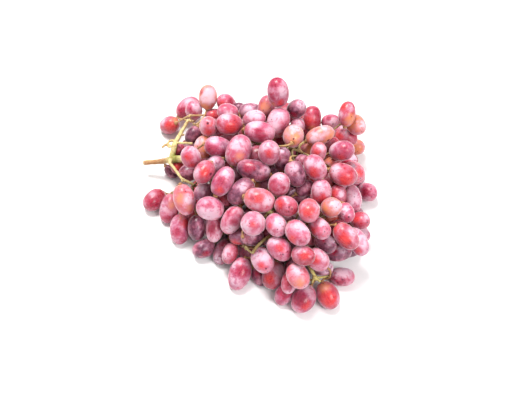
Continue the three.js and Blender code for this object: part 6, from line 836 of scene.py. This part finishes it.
def rachis_colour(pts):
    """Pale cut end, tan stalk, green knuckle, cream side stem, olive painted shade and straw inside."""
    x, y = pts[:, 0], pts[:, 1]
    c = np.tile(STRAW, (len(pts), 1))

    def blend(w, col):
        nonlocal c
        w = np.clip(w, 0, 1)[:, None]
        c = c * (1 - w) + col * w

    inside = np.clip((x + 66) / 14, 0, 1) * np.clip((40 - y) / 12, 0, 1)
    lateral = 1 - np.linalg.norm((pts - np.array([31.0, 20.0, 50.0])) / np.array([24.0, 16.0, 14.0]), axis=1)
    # painted shade: inside the bunch the stem turns olive, all but the side stem that lies on top
    blend(inside * 0.8 * (1 - np.clip(lateral * 3.0, 0, 1)), OLIVE_PAINTED_SHADE)
    knuckle = 1 - np.linalg.norm((pts - np.array([-71.0, 30.0, 23.5])) / np.array([9.0, 6.0, 8.0]), axis=1)
    blend(knuckle * 2.2, GREEN)
    upper = np.clip((y - 32) / 6, 0, 1) * np.clip((-40 - x) / 6, 0, 1)
    blend(upper * 0.35 * (0.5 + 0.5 * np.sin(0.9 * y + 0.7 * x + 0.8 * pts[:, 2])), lin((186, 176, 104)))
    blend(upper * np.clip((x + 64) / 6, 0, 1) * 0.6, lin((206, 164, 112)))
    blend(upper * np.clip((-76.5 - x) / 3, 0, 1) * 0.7, lin((196, 150, 96)))
    blend((-78 - x) / 5.0 * (y < 34), TAN)
    blend((-100.2 - x) / 0.8, CUT)
    tip = 1 - np.linalg.norm((pts - np.array([46.0, -82.0, 18.0])) / 12.0, axis=1)
    blend(tip * 1.6, lin((204, 190, 112)))
    return c


# ---- the bunch ------------------------------------------------------------
for number, berries, stems, forks in BRANCHES:
    node = "berry_branch_%02d" % number
    rng = np.random.default_rng(1000 + number)
    parts = [berry(rec, rng) for rec in berries]
    grapes = make("grapes_%02d" % number, parts, SKIN, BERRY_LAYERS)
    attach(grapes, "root")
    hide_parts(node)

    parts = []
    for rec in berries:
        c, d, a = np.array(rec[:3]), np.array(rec[3:6]), rec[6]
        d = d / np.linalg.norm(d)
        line = [tuple(c - d * a) + (0.8,)] + [p[:3] + (max(p[3], 0.74),) for p in rec[9]]
        line = rounded(line)
        line[0, :3] = c - d * (a - 0.75)
        away = np.linalg.norm(line[:, :3] - (c - d * a), axis=1)
        s = np.concatenate([[0], np.cumsum(np.linalg.norm(np.diff(line[:, :3], axis=0), axis=1))])
        # the stalk flares into a small cushion against the grape
        extra = [line[0]]
        for want in (0.5, 0.95, 1.5, 2.2):
            if want < s[-1] * 0.6:
                extra.append(np.array([np.interp(want, s, line[:, k]) for k in range(4)]))
        line = np.vstack([np.array(extra), line[s > (2.9 if len(extra) > 4 else extra and 1.2)]]) if len(line) > 2 else line
        s = np.concatenate([[0], np.cumsum(np.linalg.norm(np.diff(line[:, :3], axis=0), axis=1))])
        flare = 1.15 * np.exp(-(((s - 0.7) / 0.75) ** 2)) + 0.35 * np.exp(-s / 1.8)
        line[:, 3] = np.clip(line[:, 3], 0.72, 0.95) + flare
        pts, faces = tube(line, 10, rng, 0.05)
        dist = np.linalg.norm(pts - (c - d * a), axis=1)
        w = np.clip(1 - dist / 14, 0, 1)[:, None]
        col = stalk_colour(pts) * (1 - w * 0.7) + ROSE * w * 0.7
        w = np.clip(1 - dist / 2.6, 0, 1)[:, None]
        col = col * (1 - w) + lin((166, 112, 62)) * w
        axis = line[-1, :3] - line[0, :3]
        parts.append(stem_part(pts, faces, col, rng, axis))
    for s in stems:
        line = rounded([p[:3] + (max(p[3], 0.85),) for p in s])
        if len(line) < 2:
            continue
        pts, faces = tube(line, 10, rng, 0.06)
        parts.append(stem_part(pts, faces, stalk_colour(pts), rng, line[-1, :3] - line[0, :3]))
    for x, y, z, r in forks:
        pts, faces = lump((x, y, z), r * 1.35, 1.15, rng.normal(size=3), rng)
        parts.append(stem_part(pts, faces, stalk_colour(pts, 0.9), rng))
    stalks = make("stalks_%02d" % number, parts, STEM, STEM_LAYERS)
    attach(stalks, "root")
    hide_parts(node)

rng = np.random.default_rng(7)
parts = []
for k, s in enumerate(RACHIS):
    line = rounded(s)
    if len(line) < 2:
        continue
    pts, faces = tube(line, 16 if k < 4 else 12, rng, 0.07, 0.02 if k == 0 else 0.3)
    parts.append(stem_part(pts, faces, rachis_colour(pts), rng, line[-1, :3] - line[0, :3]))
for c, r, st, ax in (((-74.0, 30.6, 22.0), 3.1, 1.35, (0.8, -0.1, 0.5)), ((-71.0, 29.6, 24.2), 3.1, 1.1, (0.9, -0.3, 0.2)), ((-75.4, 35.0, 22.6), 2.1, 1.2, (0, 1, 0.2)), ((-64.0, 5.9, 25.5), 1.7, 1.1, (1, 0, 0)), ((-73.2, 39.0, 28.0), 1.9, 1.2, (0, 1, 0)), ((44.0, -83.9, 18.0), 2.0, 1.3, (0.6, -0.4, -0.2))):
    pts, faces = lump(c, r, st, ax, rng, 16, 10)
    parts.append(stem_part(pts, faces, rachis_colour(pts), rng, ax))
stem = make("peduncle_and_rachis_stem", parts, STEM, STEM_LAYERS)
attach(stem, "root")
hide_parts("peduncle_and_rachis")

# ---- floor, light and camera ------------------------------------------------
fm = Nodes("floor")
fco = fm.add("ShaderNodeTexCoord").outputs["Object"]
fn = fm.noise(fco, 9.0, 3.0)
fm.finish(Base_Color=fm.mix(fm.ramp(fn, 0.3, 0.7), (0.90, 0.90, 0.90), (0.93, 0.93, 0.93)), Roughness=0.7)
mesh = bpy.data.meshes.new("floor")
S = 6.0
mesh.from_pydata([(-S, -S, 0), (S, -S, 0), (S, S, 0), (-S, S, 0)], [], [(0, 1, 2, 3)])
mesh.materials.append(fm.mat)
floor = bpy.data.objects.new("floor", mesh)
bpy.context.scene.collection.objects.link(floor)

world = bpy.data.worlds.new("studio")
bpy.context.scene.world = world
world.use_nodes = True
world.node_tree.nodes["Background"].inputs[0].default_value = (1.0, 1.0, 1.0, 1)
world.node_tree.nodes["Background"].inputs[1].default_value = 0.53


def lamp(name, at, to, size, watts, colour=(1, 1, 1)):
    data = bpy.data.lights.new(name, "AREA")
    data.shape = "DISK"
    data.size = size
    data.energy = watts
    data.color = colour
    o = bpy.data.objects.new(name, data)
    bpy.context.scene.collection.objects.link(o)
    o.location = at
    o.rotation_euler = (Vector(to) - Vector(at)).to_track_quat("-Z", "Y").to_euler()
    return o


lamp("key", (-0.2, 0.40, 1.1), (0, 0, 0.03), 0.5, 19.0, (1.0, 0.98, 0.96))
lamp("fill", (0.55, -0.6, 0.85), (0, 0, 0.03), 0.5, 8.0)

cam_data = bpy.data.cameras.new("camera")
cam_data.sensor_fit = "HORIZONTAL"
cam_data.sensor_width = 36.0
cam_data.lens = 52.03
cam_data.clip_start = 0.01
cam_data.clip_end = 50.0
cam = bpy.data.objects.new("camera", cam_data)
bpy.context.scene.collection.objects.link(cam)
cam.location = Vector((-2.45, -365.53, 526.49)) * MM
target = Vector((-2.45, -21.38, 35.0)) * MM
cam.rotation_euler = (target - cam.location).to_track_quat("-Z", "Y").to_euler()
bpy.context.scene.camera = cam
bpy.context.scene.view_settings.view_transform = "Standard"
bpy.context.scene.view_settings.look = "None"
